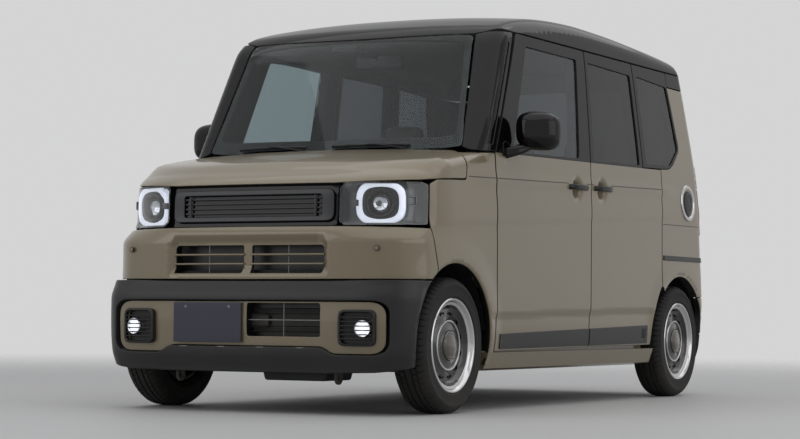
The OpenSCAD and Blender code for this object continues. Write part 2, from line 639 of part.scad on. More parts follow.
// a rim with its disc, hub and cap; out is +1 where outside is +X
module wheel(side, y) color("silver") translate([side * wheel_x, y, tyre_r]) rotate([0, 90, 0])
  mirror([0, 0, side > 0 ? 0 : 1]) rotate_extrude()
    polygon([[rim_r, -tyre_w / 2 + 21.5], [rim_r + 14, -tyre_w / 2 + 10], [rim_r + 14, -tyre_w / 2 + 4.5],
      [rim_r - 13, -tyre_w / 2 + 6], [rim_r - 13, 12], [rim_r - 30, 22], [90, 44], [52, 36], [52, 22], [stub_r + run, 22],
      [stub_r + run, 63], [56, 64], [90, 56], [rim_r - 24, 36], [rim_r - 10, 60], [rim_r + 14, tyre_w / 2 - 4.5],
      [rim_r + 14, tyre_w / 2 - 10], [rim_r, tyre_w / 2 - 21.5]]);

// ---- under the body ----
module engine() color("gray") box([-260, yf - 250, beam_z + fit], [300, yf + 190, 800]);
module fuel_tank() color("dimgray") box([-400, door_y + 330, 172], [100, door_y + 900, floor_z - floor_t - fit]);
module exhaust() color("silver") {
  rod_x([120, yr + 200, tyre_r - 28.5], 360, 62);
  translate([150, door_y - 40, tyre_r - 85.5]) rotate([-90, 0, 0]) cylinder(r = 19, h = yr + 200 - door_y + 40);
  translate([440, yr + 200, tyre_r - 28.5]) rotate([-90, 0, 0]) cylinder(r = 18, h = y1 - yr - 200 - 80);
  // hangers
  for (y = [door_y + 60, door_y + 1000]) box([142, y, tyre_r - 85.5], [158, y + 24, floor_z - floor_t - fit]);
  box([290, yr + 190, tyre_r - 28.5], [310, yr + 210, load_z - floor_t - fit]);
}

// ---- cabin ----
column_tilt = 24;
wheel_hub = [-330, door_y + 235, 870];
module column_frame() translate(wheel_hub) rotate([90 + column_tilt, 0, 0]) children();
module dashboard() color("dimgray") {
  along_x(-(hw - 156), hw - 156) polygon([[door_y - 59 + fit, 700], [door_y + 120, 660], [door_y + 150, 760], [door_y + 132, 960],
    [door_y + 90, 1030], [door_y - 59 + fit, 1040]]);
  // steering column
  column_frame() { translate([0, 0, 52]) cylinder(r = 28, h = 120); translate([0, 0, -2]) cylinder(r = 9, h = 60); }
}
module steering_wheel() color("black") column_frame() difference() {
  union() {
    rotate_extrude() translate([178, 0]) circle(r = 14);
    translate([0, 0, -8]) cylinder(r = 56, h = 34);
    for (a = [0, 180, 270]) rotate([0, 0, a]) translate([30, -16, -6]) cube([140, 32, 12]);
  }
  translate([0, 0, -20]) cylinder(r = 9 + run, h = 100);
}
module front_seat(x) {
  box([x - 200, door_y + 440, floor_z + fit], [x + 200, door_y + 860, 440]);
  along_x(x - 255, x + 255) polygon([[door_y + 400, 438], [door_y + 385, 560], [door_y + 420, 595], [door_y + 800, 570],
    [door_y + 985, 1120], [door_y + 1060, 1150], [door_y + 1110, 1110], [door_y + 950, 470], [door_y + 900, 438]]);
  along_x(x - 120, x + 120) polygon([[door_y + 1000, 1130], [door_y + 1025, 1310], [door_y + 1060, 1330], [door_y + 1120, 1310],
    [door_y + 1105, 1120], [door_y + 1050, 1100]]);
}
module front_seats() for (s = [-1, 1]) front_seat(s * 300);
seat_y = door_y + 1110 + 0.268 * (step_y - door_y - 1110);
module rear_seat() {
  along_x(-(hw - 186), hw - 186) polygon([[seat_y + 20, floor_z + fit], [seat_y, 560], [seat_y + 40, 610], [step_y - 60, 590],
    [step_y + 90, 1120], [step_y + 150, 1140], [step_y + 200, 1110], [step_y + 70, load_z + fit], [step_y - floor_t - fit, load_z + fit],
    [step_y - floor_t - fit, floor_z + fit]]);
  for (s = [-1, 1]) along_x(s * 280 - 120, s * 280 + 120) polygon([[step_y + 100, 1110], [step_y + 120, 1290],
    [step_y + 160, 1310], [step_y + 205, 1290], [step_y + 195, 1100]]);
}
module seats() color("darkkhaki") { front_seats(); rear_seat(); }
module wipers() color("black") for (x = [-255, 235]) {
  translate([x, ws_y - 4 + x * x / (2 * ws_bulge_r), ws_z + 14]) rotate([0, 0, atan(x / ws_bulge_r)]) box([-185, -6, -6], [185, 5, 6]);
  rod_z([x + 180, ws_y - 7 + pow(x + 180, 2) / (2 * ws_bulge_r), ws_z - 20 + fit], 38, 8);
}

floor_pan();
sills();
pillars();
roof();
quarter_panels();
cowl();
fenders();
bonnet();
grille();
front_bumper();
bumper_guard();
front_lamps();
windscreen();
side_windows();
front_door();  // front_door_left
mirror([1, 0, 0]) front_door();  // front_door_right
front_door_glass();  // front_door_glass_left
mirror([1, 0, 0]) front_door_glass();  // front_door_glass_right
door_mirror();  // door_mirror_left
mirror([1, 0, 0]) door_mirror();  // door_mirror_right
sliding_door();  // sliding_door_left
mirror([1, 0, 0]) sliding_door();  // sliding_door_right
tailgate();
tailgate_window();
tail_lamps();
rear_bumper();
front_suspension();
knuckle();  // knuckle_left
mirror([1, 0, 0]) knuckle();  // knuckle_right
rear_axle();
engine();
fuel_tank();
exhaust();
dashboard();
steering_wheel();
seats();
wipers();
tyre(1, yf);  // tyre_front_left
tyre(-1, yf);  // tyre_front_right
tyre(1, yr);  // tyre_rear_left
tyre(-1, yr);  // tyre_rear_right
wheel(1, yf);  // wheel_front_left
wheel(-1, yf);  // wheel_front_right
wheel(1, yr);  // wheel_rear_left
wheel(-1, yr);  // wheel_rear_right
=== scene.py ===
# %% [markdown]
# # A kei car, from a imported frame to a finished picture
# The frame gives the places of every part. On top of it this lesson builds the
# pressed panels, the glass, the lamps, the wheels and the cabin, one step at a time.

# %% Start from the frame
import json
import math
import bmesh
import bpy
import numpy as np
from mathutils import Vector, Matrix
from mathutils.geometry import delaunay_2d_cdt

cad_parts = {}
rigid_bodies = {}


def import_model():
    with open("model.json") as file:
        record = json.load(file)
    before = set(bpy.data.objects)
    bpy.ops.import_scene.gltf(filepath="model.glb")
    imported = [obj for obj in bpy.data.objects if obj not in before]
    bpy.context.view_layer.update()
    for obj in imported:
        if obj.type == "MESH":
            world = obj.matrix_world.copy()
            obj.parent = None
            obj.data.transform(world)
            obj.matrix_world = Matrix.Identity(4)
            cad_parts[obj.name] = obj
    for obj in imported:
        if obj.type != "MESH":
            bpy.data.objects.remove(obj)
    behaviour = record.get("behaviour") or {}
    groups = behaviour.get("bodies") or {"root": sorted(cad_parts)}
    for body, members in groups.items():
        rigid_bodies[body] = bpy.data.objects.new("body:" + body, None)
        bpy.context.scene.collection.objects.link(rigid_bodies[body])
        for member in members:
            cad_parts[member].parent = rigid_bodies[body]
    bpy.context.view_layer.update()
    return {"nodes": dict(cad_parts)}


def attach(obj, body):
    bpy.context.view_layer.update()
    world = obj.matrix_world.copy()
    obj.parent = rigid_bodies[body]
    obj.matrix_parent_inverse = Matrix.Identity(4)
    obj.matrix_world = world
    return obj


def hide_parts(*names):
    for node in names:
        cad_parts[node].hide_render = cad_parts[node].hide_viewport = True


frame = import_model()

MM = 0.001
scene = bpy.context.scene

# %% [markdown]
# ## Node groups shared by the finishes
# Real paint and plastic are never one flat value: paint has a slight orange peel,
# moulded plastic a fine grain, and everything low on a car carries a little dust.
# One painted image per part could show this, but a node group works on any shape
# and needs no unwrapping, so each effect is built once and placed with its own values.

# %% A small builder for node groups
def effect(name, inputs, outputs):
    tree = bpy.data.node_groups.new(name, "ShaderNodeTree")
    for socket, value in inputs.items():
        made = tree.interface.new_socket(socket, in_out="INPUT", socket_type="NodeSocketFloat")
        made.default_value = value
    for socket in outputs:
        tree.interface.new_socket(socket, in_out="OUTPUT", socket_type="NodeSocketFloat")
    return tree, tree.nodes.new("NodeGroupInput"), tree.nodes.new("NodeGroupOutput")

def maths(tree, operation, a, b=None, clamp=False):
    node = tree.nodes.new("ShaderNodeMath")
    node.operation = operation
    node.use_clamp = clamp
    for i, value in enumerate((a, b)):
        if value is None:
            continue
        if isinstance(value, (int, float)):
            node.inputs[i].default_value = value
        else:
            tree.links.new(value, node.inputs[i])
    return node.outputs[0]

def noise(tree, scale, detail=2.0, rough=0.5):
    place = tree.nodes.new("ShaderNodeTexCoord")
    node = tree.nodes.new("ShaderNodeTexNoise")
    node.inputs["Detail"].default_value = detail
    node.inputs["Roughness"].default_value = rough
    tree.links.new(place.outputs["Object"], node.inputs["Vector"])
    tree.links.new(scale, node.inputs["Scale"])
    return node.outputs["Fac"]
print("a small builder for node groups: done")

# %% The shared effects: surface grain, road dust and weave
grain, gi, go = effect("Surface grain", {"Scale": 300.0, "Depth": 1.0}, ["Height"])
grain.links.new(maths(grain, "MULTIPLY", noise(grain, gi.outputs["Scale"], 3.0), gi.outputs["Depth"]),
    go.inputs["Height"])

dust, gi, go = effect("Road dust", {"Scale": 7.0, "Amount": 0.3, "Top": 0.9}, ["Mask"])
where = dust.nodes.new("ShaderNodeNewGeometry")
split = dust.nodes.new("ShaderNodeSeparateXYZ")
dust.links.new(where.outputs["Position"], split.inputs[0])
height = maths(dust, "DIVIDE", split.outputs["Z"], gi.outputs["Top"], clamp=True)
low = maths(dust, "SUBTRACT", 1.0, height, clamp=True)
cloud = maths(dust, "MULTIPLY", noise(dust, gi.outputs["Scale"], 5.0, 0.6), low)
dust.links.new(maths(dust, "MULTIPLY", cloud, gi.outputs["Amount"], clamp=True), go.inputs["Mask"])

weave, gi, go = effect("Woven cloth", {"Threads": 420.0}, ["Height", "Shade"])
spot = weave.nodes.new("ShaderNodeTexCoord")
waves = []
for direction in ("X", "Z"):
    wave = weave.nodes.new("ShaderNodeTexWave")
    wave.bands_direction = direction
    wave.inputs["Distortion"].default_value = 0.6
    wave.inputs["Detail"].default_value = 1.0
    weave.links.new(spot.outputs["Object"], wave.inputs["Vector"])
    weave.links.new(gi.outputs["Threads"], wave.inputs["Scale"])
    waves.append(wave.outputs["Fac"])
weave.links.new(maths(weave, "MAXIMUM", waves[0], waves[1]), go.inputs["Height"])
patch = weave.nodes.new("ShaderNodeTexNoise")
patch.inputs["Scale"].default_value = 9.0
weave.links.new(spot.outputs["Object"], patch.inputs["Vector"])
weave.links.new(maths(weave, "MULTIPLY", patch.outputs["Fac"], maths(weave, "MAXIMUM", waves[0], waves[1])),
    go.inputs["Shade"])
print("node groups:", [g.name for g in bpy.data.node_groups])

# %% [markdown]
# ## Finishes
# Each finish is one Principled shader with its constants on the shader's own
# sockets. Only what changes over the surface, colour and roughness under the dust
# and the height of the grain, comes in through the groups.

# %% One maker for paint, plastic and metal
def finish_of(name, colour, rough, metal=0.0, coat=0.0, coat_rough=0.03, soil=0.25, soil_top=0.9,
              soil_colour=(0.30, 0.27, 0.22), grit=400.0, depth=0.02, second=None, mottle=3.0, spec=0.5):
    material = bpy.data.materials.new(name)
    material.use_nodes = True
    tree = material.node_tree
    shader = tree.nodes["Principled BSDF"]
    shader.inputs["Roughness"].default_value = rough
    shader.inputs["Metallic"].default_value = metal
    shader.inputs["Coat Weight"].default_value = coat
    shader.inputs["Coat Roughness"].default_value = coat_rough
    shader.inputs["Specular IOR Level"].default_value = spec
    second = second or tuple(c * 0.86 for c in colour)
    shade = tree.nodes.new("ShaderNodeTexNoise")
    shade.inputs["Scale"].default_value = mottle
    shade.inputs["Detail"].default_value = 4.0
    place = tree.nodes.new("ShaderNodeTexCoord")
    tree.links.new(place.outputs["Object"], shade.inputs["Vector"])
    base = tree.nodes.new("ShaderNodeMix")
    base.data_type = "RGBA"
    base.inputs["A"].default_value = (*colour, 1)
    base.inputs["B"].default_value = (*second, 1)
    tree.links.new(shade.outputs["Fac"], base.inputs["Factor"])
    film = tree.nodes.new("ShaderNodeGroup")
    film.node_tree = dust
    film.inputs["Amount"].default_value = soil
    film.inputs["Top"].default_value = soil_top
    mixed = tree.nodes.new("ShaderNodeMix")
    mixed.data_type = "RGBA"
    mixed.inputs["B"].default_value = (*soil_colour, 1)
    tree.links.new(film.outputs["Mask"], mixed.inputs["Factor"])
    tree.links.new(base.outputs["Result"], mixed.inputs["A"])
    tree.links.new(mixed.outputs["Result"], shader.inputs["Base Color"])
    dull = maths(tree, "ADD", maths(tree, "MULTIPLY", film.outputs["Mask"], 0.6), rough, clamp=True)
    tree.links.new(dull, shader.inputs["Roughness"])
    skin = tree.nodes.new("ShaderNodeGroup")
    skin.node_tree = grain
    skin.inputs["Scale"].default_value = grit
    bump = tree.nodes.new("ShaderNodeBump")
    bump.inputs["Strength"].default_value = depth
    bump.inputs["Distance"].default_value = 0.001
    tree.links.new(skin.outputs["Height"], bump.inputs["Height"])
    tree.links.new(bump.outputs["Normal"], shader.inputs["Normal"])
    return material
print("one maker for paint: done")

# %% The painted and moulded finishes
khaki = finish_of("khaki paint", (0.220, 0.178, 0.108), 0.34, metal=0.15, coat=0.6, coat_rough=0.04,
                  soil=0.05, grit=900, depth=0.012, second=(0.209, 0.169, 0.102))
gloss_black = finish_of("gloss black paint", (0.004, 0.004, 0.005), 0.30, coat=0.62, coat_rough=0.05, soil=0.03,
    soil_top=0.5, grit=900, depth=0.01, spec=0.0)
guard_plastic = finish_of("satin guard plastic", (0.013, 0.013, 0.016), 0.38, soil=0.06, grit=1400, depth=0.10,
    spec=0.38)
dark_plastic = finish_of("grained black plastic", (0.010, 0.010, 0.011), 0.52, soil=0.10, grit=1800, depth=0.25,
    spec=0.35)
frame_grey = finish_of("satin grey moulding", (0.036, 0.037, 0.040), 0.30, metal=0.3, soil=0.04, grit=1200, depth=0.04)
chrome = finish_of("bright trim", (0.78, 0.78, 0.80), 0.08, metal=1.0, soil=0.04, grit=500, depth=0.01)
rubber = finish_of("tyre rubber", (0.010, 0.010, 0.011), 0.66, soil=0.14, soil_top=0.6, grit=900, depth=0.35, spec=0.28)
wheel_black = finish_of("black wheel enamel", (0.012, 0.012, 0.013), 0.20, coat=0.7, soil=0.20, soil_top=0.7, grit=700,
    depth=0.02)
polished = finish_of("polished rim", (0.62, 0.62, 0.63), 0.14, metal=1.0, soil=0.08, grit=500, depth=0.02)
cap_paint = finish_of("cap enamel", (0.085, 0.075, 0.060), 0.22, metal=0.5, coat=0.8, soil=0.10, grit=700, depth=0.02)
chassis_black = finish_of("underbody coating", (0.022, 0.022, 0.024), 0.65, soil=0.45, soil_top=0.8, grit=260,
    depth=0.5)
casting = finish_of("cast metal", (0.22, 0.22, 0.23), 0.48, metal=0.8, soil=0.3, grit=500, depth=0.3)
pipe_steel = finish_of("exhaust steel", (0.34, 0.32, 0.29), 0.38, metal=1.0, soil=0.35, grit=300, depth=0.15)
trim_dark = finish_of("cabin trim", (0.018, 0.018, 0.018), 0.55, soil=0.0, grit=1500, depth=0.3)
trim_light = finish_of("cabin upper trim", (0.05, 0.048, 0.045), 0.6, soil=0.0, grit=1500, depth=0.3)
lamp_house = finish_of("lamp housing", (0.010, 0.012, 0.022), 0.22, coat=0.5, soil=0.0, grit=700, depth=0.02)
plate_slate = finish_of("blank plate", (0.030, 0.032, 0.055), 0.42, soil=0.02, grit=700, depth=0.03)
# painted shadow: a darker khaki for the thin strips that stand in for the shade along the shoulder crease
painted_shoulder_shadow = finish_of("painted shoulder shadow", (0.060, 0.052, 0.038), 0.5, soil=0.0, grit=900, depth=0.01)
sensor_black = finish_of("sensor housing", (0.008, 0.008, 0.009), 0.35, soil=0.0, grit=900, depth=0.05)
print("finishes:", len(bpy.data.materials))

# %% Cloth, glass, light and lens finishes
def cloth(name, colour, threads):
    material = finish_of(name, colour, 0.88, soil=0.0, depth=0.0)
    tree = material.node_tree
    shader = tree.nodes["Principled BSDF"]
    shader.inputs["Sheen Weight"].default_value = 0.35
    shader.inputs["Sheen Roughness"].default_value = 0.5
    yarn = tree.nodes.new("ShaderNodeGroup")
    yarn.node_tree = weave
    yarn.inputs["Threads"].default_value = threads
    bump = tree.nodes.new("ShaderNodeBump")
    bump.inputs["Strength"].default_value = 0.45
    bump.inputs["Distance"].default_value = 0.001
    tree.links.new(yarn.outputs["Height"], bump.inputs["Height"])
    tree.links.new(bump.outputs["Normal"], shader.inputs["Normal"])
    return material

def clear(name, tint, rough=0.0, weight=1.0, ior=1.45):
    material = bpy.data.materials.new(name)
    material.use_nodes = True
    tree = material.node_tree
    shader = tree.nodes["Principled BSDF"]
    shader.inputs["Base Color"].default_value = (*tint, 1)
    shader.inputs["Roughness"].default_value = rough
    shader.inputs["Transmission Weight"].default_value = weight
    shader.inputs["IOR"].default_value = ior
    film = tree.nodes.new("ShaderNodeGroup")
    film.node_tree = dust
    film.inputs["Amount"].default_value = 0.06
    film.inputs["Top"].default_value = 2.2
    tree.links.new(maths(tree, "ADD", maths(tree, "MULTIPLY", film.outputs["Mask"], 0.25), rough),
        shader.inputs["Roughness"])
    return material

seat_cloth = cloth("seat cloth", (0.20, 0.19, 0.165), 420)
seat_side = cloth("seat side cloth", (0.075, 0.073, 0.068), 520)
screen_glass = clear("windscreen glass", (0.60, 0.68, 0.69), ior=1.31)
door_glass = clear("front door glass", (0.36, 0.42, 0.44), ior=1.31)
privacy_glass = clear("privacy glass", (0.07, 0.075, 0.082), ior=1.31)
lamp_cover = clear("lamp cover", (0.93, 0.95, 0.97))
red_cover = clear("red lamp cover", (0.62, 0.012, 0.010), rough=0.03)
white_cover = clear("white lamp cover", (0.82, 0.84, 0.86), rough=0.05)

def glow(name, colour, strength):
    material = finish_of(name, colour, 0.25, coat=0.6, soil=0.0, depth=0.01)
    shader = material.node_tree.nodes["Principled BSDF"]
    shader.inputs["Emission Color"].default_value = (*colour, 1)
    shader.inputs["Emission Strength"].default_value = strength
    return material

ring_light = glow("lamp ring", (0.80, 0.84, 0.94), 0.62)
bulb_light = glow("fog bulb", (0.86, 0.90, 1.0), 0.9)
print("all finishes:", len(bpy.data.materials))

# %% [markdown]
# ## The body as one smooth form
# A pressed body is one flowing surface that is later cut along its seams. Modelling
# each panel alone would leave steps at every seam. So the whole body is written
# once as a function that is negative inside and positive outside, in millimetres,
# and every panel is then found by sending rays from inside to where it is zero.

# %% Rounded joins and smooth steps
def smooth(a, b, v):
    t = np.clip((v - a) / (b - a), 0, 1)
    return t * t * (3 - 2 * t)

def rounded(a, b, r):
    """The intersection of two forms, with its edge rounded to the radius r."""
    return np.minimum(np.maximum(a, b), -r) + np.hypot(np.maximum(a + r, 0), np.maximum(b + r, 0))

def curve(points):
    xs, ys = np.array(points, float).T
    def at(v):
        v = np.asarray(v, float)
        # a monotone cubic through the points keeps highlights smooth
        h = np.diff(xs)
        d = np.diff(ys) / h
        m = np.zeros(len(xs))
        for i in range(1, len(xs) - 1):
            if d[i - 1] * d[i] > 0:
                w1, w2 = 2 * h[i] + h[i - 1], h[i] + 2 * h[i - 1]
                m[i] = (w1 + w2) / (w1 / d[i - 1] + w2 / d[i])
        m[0], m[-1] = d[0], d[-1]
        k = np.clip(np.searchsorted(xs, v) - 1, 0, len(h) - 1)
        t = (v - xs[k]) / h[k]
        cubic = ((2 * t**3 - 3 * t**2 + 1) * ys[k] + (t**3 - 2 * t**2 + t) * h[k] * m[k]
                 + (-2 * t**3 + 3 * t**2) * ys[k + 1] + (t**3 - t**2) * h[k] * m[k + 1])
        low = ys[0] + m[0] * (v - xs[0])
        high = ys[-1] + m[-1] * (v - xs[-1])
        return np.where(v < xs[0], low, np.where(v > xs[-1], high, cubic))
    return at
print("rounded joins and smooth steps: done")

# %% The sections of the body, in millimetres
FRONT_AXLE, REAR_AXLE, WHEEL_Z = -1233.5, 1286.5, 278.5
DOOR_Y, MID_Y, REAR_Y = -844.5, 150.5, 1035.5
SCREEN_Y, SCREEN_Z, SLOPE = -1075.5, 1095.0, math.radians(62.7)

side_x = curve([(120, 680), (178, 704), (250, 724), (330, 731), (420, 734.5), (500, 735.5), (760, 735.5),
                (900, 734.5), (1000, 732.5), (1100, 729.5), (1220, 721), (1400, 705), (1540, 691.5), (1640, 679),
                (1760, 660)])
front_y = curve([(150, -1676), (520, -1680), (690, -1681), (735, -1668), (765, -1648), (800, -1641), (915, -1637),
                 (940, -1629), (965, -1602), (990, -1560), (1060, -1510), (1200, -1460), (1800, -1400)])
rear_y = curve([(150, 1690), (330, 1696), (600, 1696), (700, 1681), (900, 1660), (1150, 1620), (1400, 1560),
                (1640, 1504), (1740, 1492)])
roof_mid = curve([(-830, 1600), (-790, 1636), (-640, 1694), (-440, 1742), (-240, 1768), (0, 1783), (200, 1788),
                  (500, 1784), (900, 1768), (1250, 1748), (1502, 1726)])
bonnet_mid = curve([(-1680, 900), (-1637, 945), (-1600, 973), (-1560, 993), (-1450, 1036), (-1300, 1071), (-1080, 1108),
    (-900, 1136)])

def body_side(x, y, z):
    toe_high = 5.8e-4 * np.maximum(0, -1250 - y) ** 2
    toe_mid = 2.5e-4 * np.maximum(0, -1330 - y) ** 2
    toe = toe_mid + (toe_high - toe_mid) * smooth(690, 790, z)
    return np.abs(x) - side_x(z) + toe

def body_front(x, y, z):
    high = 6 * (x / 405) ** 2 + 1.157e-3 * np.maximum(0, np.abs(x) - 330) ** 2
    mid = 7 * (x / 380) ** 2 + 4.1e-4 * np.maximum(0, np.abs(x) - 300) ** 2
    bow = mid + (high - mid) * smooth(690, 790, z)
    return front_y(z) + bow - y

def body_rear(x, y, z):
    return y - (rear_y(z) - 3.1e-5 * x * x)

def screen(x, y, z):
    return (SCREEN_Y + x * x / 4920 - y) * math.sin(SLOPE) + (z - SCREEN_Z) * math.cos(SLOPE)

def shell_high(x, y, z):
    """Everything from the bonnet and the windscreen up to the roof."""
    roof = (z - roof_mid(y) + 26 * (np.abs(x) / 600) ** 2.4) * 0.98
    cabin = rounded(screen(x, y, z), roof, 60)
    bonnet = (z - bonnet_mid(y) + 28 * (x / 700) ** 2) * 0.97
    return np.minimum(cabin, bonnet)

def cabin_form(p):
    """The windscreen and roof alone, which the glass is cut from."""
    x, y, z = p.T
    roof = (z - roof_mid(y) + 26 * (np.abs(x) / 600) ** 2.4) * 0.98
    return rounded(screen(x, y, z), roof, 60)
print("sections ready")

# %% [markdown]
# The plain sections are joined here, and the pressings that catch the light are
# added to them: the flares over the wheels, the bowls behind the handles and the
# two soft lines along the doors. Each is a small push outwards or inwards.

# %% Pressings in the body sides and the whole body form
def arch_flare(y, z, centre, lift):
    r = np.hypot(y - centre, z - WHEEL_Z)
    return lift * (1 - smooth(352, 470, r)) * smooth(330, 348, r) * smooth(150, 330, z)

def bowl(y, z, cy, cz, r, depth):
    d = np.hypot(y - cy, z - cz) / r
    return -depth * (1 - smooth(0.0, 1.0, d)) * (0.35 + 0.65 * (z > cz - r))

def side_line_z(y):
    return 989 + (y + 400) * 0.0275

def side_relief(y, z):
    line = side_line_z(y)
    out = 4.0 * (1 - smooth(0, 1, np.abs(z - line) / 46)) * smooth(-1100, -900, y) * (1 - smooth(1060, 1300, y))
    brk = 809 + (y + 820) * 0.0495
    out = out + 3.2 * smooth(brk - 30, brk + 6, z) * (1 - smooth(line - 120, line - 20, z))
    tuck = 410 + (y + 820) * 0.0172
    out = out - 7.0 * (1 - smooth(tuck - 24, tuck + 10, z)) * smooth(-930, -850, y) * (1 - smooth(880, 960, y))
    out = out + arch_flare(y, z, FRONT_AXLE, 6.5) + arch_flare(y, z, REAR_AXLE, 4.5)
    out = out + bowl(y, z, MID_Y - 160, 984, 68, 26) + bowl(y, z, MID_Y + 128, 992, 68, 26)
    return out

def body(p):
    x, y, z = p.T
    side = body_side(x, y, z) - side_relief(y, z)
    form = rounded(side, body_front(x, y, z), 120 - 55 * smooth(690, 800, z))
    form = rounded(form, body_rear(x, y, z), 120)
    return rounded(form, shell_high(x, y, z), 58)

def guard_form(p):
    """The bumper's black guard, with its own squarer corners."""
    x, y, z = p.T
    a = np.abs(x)
    step = 26 * smooth(462, 548, z)
    front = -1694.6 + 5 * (a / 300) ** 2 + 1.0e-3 * np.maximum(0, a - 520) ** 2 + step - y
    front = front + 14 * (1 - smooth(160, 250, z))
    side = a - side_x(z) + 1.1e-4 * np.maximum(0, -1400 - y) ** 2 - arch_flare(y, z, FRONT_AXLE,
        6.5) + 0.35 * step * smooth(-1420, -1540, y)
    return rounded(side, front, 74)

def normals_at(form, p):
    h = 0.6
    g = np.stack([form(p + np.eye(3)[k] * h) - form(p - np.eye(3)[k] * h) for k in range(3)], 1)
    return g / np.maximum(np.linalg.norm(g, axis=1, keepdims=True), 1e-9)

def meet(form, origin, ray, near=0.0, far=1500.0):
    """Where rays from inside the form leave it."""
    a = np.full(len(origin), near)
    b = np.full(len(origin), far)
    for _ in range(34):
        m = (a + b) / 2
        inside = form(origin + ray * m[:, None]) < 0
        a, b = np.where(inside, m, a), np.where(inside, b, m)
    return origin + ray * a[:, None]
probe = meet(body, np.array([[0, 0, 900.0], [0, 0, 900.0], [0, 0, 900.0]]),
             np.array([[1.0, 0, 0], [0, -1, 0], [0, 0, 1]]))
print("body reaches", probe.round(1).tolist())

# %% [markdown]
# ## Cutting panels out of the body
# A door skin is an outline, drawn on the seam lines, that is filled with a fine net
# and laid on the body. Its edge is folded over with a small radius, as a hemmed
# sheet is, and a wall runs in to the depth of the door. Boolean cuts would leave
# ragged triangles and hard edges, so each panel is meshed inside its own outline.

# %% Ways of looking at the body: the origins and directions of the rays
def side_on(uv):
    n = len(uv)
    return np.column_stack([np.zeros(n), uv]), np.tile([1.0, 0, 0], (n, 1))

def head_on(uv):
    n = len(uv)
    return np.column_stack([uv[:, 0], np.full(n, -200.0), uv[:, 1]]), np.tile([0, -1.0, 0], (n, 1))

def tail_on(uv):
    n = len(uv)
    return np.column_stack([uv[:, 0], np.full(n, 900.0), uv[:, 1]]), np.tile([0, 1.0, 0], (n, 1))

CORNER_X, CORNER_Y, CORNER_R = 480.0, -1300.0, 280.0
QUARTER = CORNER_R * math.pi / 2

def round_nose(uv):
    """Across the nose, round its corner and back along the side, as one strip."""
    s, z = np.abs(uv[:, 0]), uv[:, 1]
    turn = np.clip((s - CORNER_X) / CORNER_R, 0, math.pi / 2)
    x = np.minimum(s, CORNER_X)
    y = CORNER_Y + np.maximum(s - CORNER_X - QUARTER, 0)
    sign = np.where(uv[:, 0] < 0, -1.0, 1.0)
    x = np.where(s < CORNER_X, s, CORNER_X)
    return (np.column_stack([x * sign, y, z]),
            np.column_stack([np.sin(turn) * sign, -np.cos(turn), np.zeros(len(s))]))

def nose_s(x, y):
    if y >= CORNER_Y:
        return CORNER_X + QUARTER + (y - CORNER_Y)
    if x <= CORNER_X:
        return x
    return CORNER_X + CORNER_R * math.atan2(x - CORNER_X, -(y - CORNER_Y))

BACK_X, BACK_Y, BACK_R = 500.0, 1400.0, 240.0

def round_tail(uv):
    s, z = np.abs(uv[:, 0]), uv[:, 1]
    turn = np.clip((s - BACK_X) / BACK_R, 0, math.pi / 2)
    sign = np.where(uv[:, 0] < 0, -1.0, 1.0)
    y = BACK_Y - np.maximum(s - BACK_X - BACK_R * math.pi / 2, 0)
    return (np.column_stack([np.minimum(s, BACK_X) * sign, y, z]),
            np.column_stack([np.sin(turn) * sign, np.cos(turn), np.zeros(len(s))]))

def tail_s(x, y):
    if y <= BACK_Y:
        return BACK_X + BACK_R * math.pi / 2 + (BACK_Y - y)
    if x <= BACK_X:
        return x
    return BACK_X + BACK_R * math.atan2(x - BACK_X, y - BACK_Y)

ROOF_R, ROOF_Z0 = 760.0, 1000.0

def over_roof(uv):
    a = uv[:, 0] / ROOF_R
    n = len(uv)
    return (np.column_stack([np.zeros(n), uv[:, 1], np.full(n, ROOF_Z0)]),
            np.column_stack([np.sin(a), np.zeros(n), np.cos(a)]))

def roof_u(x, z):
    return ROOF_R * math.atan2(x, z - ROOF_Z0)

DOME_R, DOME_Y, DOME_Z = 420.0, -1300.0, 790.0

def over_bonnet(uv):
    a, v = uv[:, 0] / DOME_R, uv[:, 1]
    tilt = np.maximum(DOME_Y - v, 0) / DOME_R
    n = len(uv)
    return (np.column_stack([np.zeros(n), np.maximum(v, DOME_Y), np.full(n, DOME_Z)]),
            np.column_stack([np.sin(a) * np.cos(tilt), -np.sin(tilt), np.cos(a) * np.cos(tilt)]))

def dome_uv(x, y, z):
    a = math.atan2(x, z - DOME_Z)
    if y >= DOME_Y:
        return (DOME_R * a, y)
    return (DOME_R * a, DOME_Y - DOME_R * math.atan2(DOME_Y - y, math.hypot(x, z - DOME_Z)))

def screen_mid_y(z):
    return SCREEN_Y + (z - SCREEN_Z) / math.tan(SLOPE)

def round_pillar(uv):
    """Round the corner between windscreen and side, about a line that leans with them."""
    a, z = uv[:, 0] / 200.0, uv[:, 1]
    n = len(uv)
    return (np.column_stack([np.full(n, 470.0), screen_mid_y(z) + 330, z]),
            np.column_stack([np.sin(a), -np.cos(a), np.zeros(n)]))

def pillar_u(x, y, z):
    return 200.0 * math.atan2(x - 470.0, -(y - screen_mid_y(z) - 330))
print("ways of looking at the body: done")

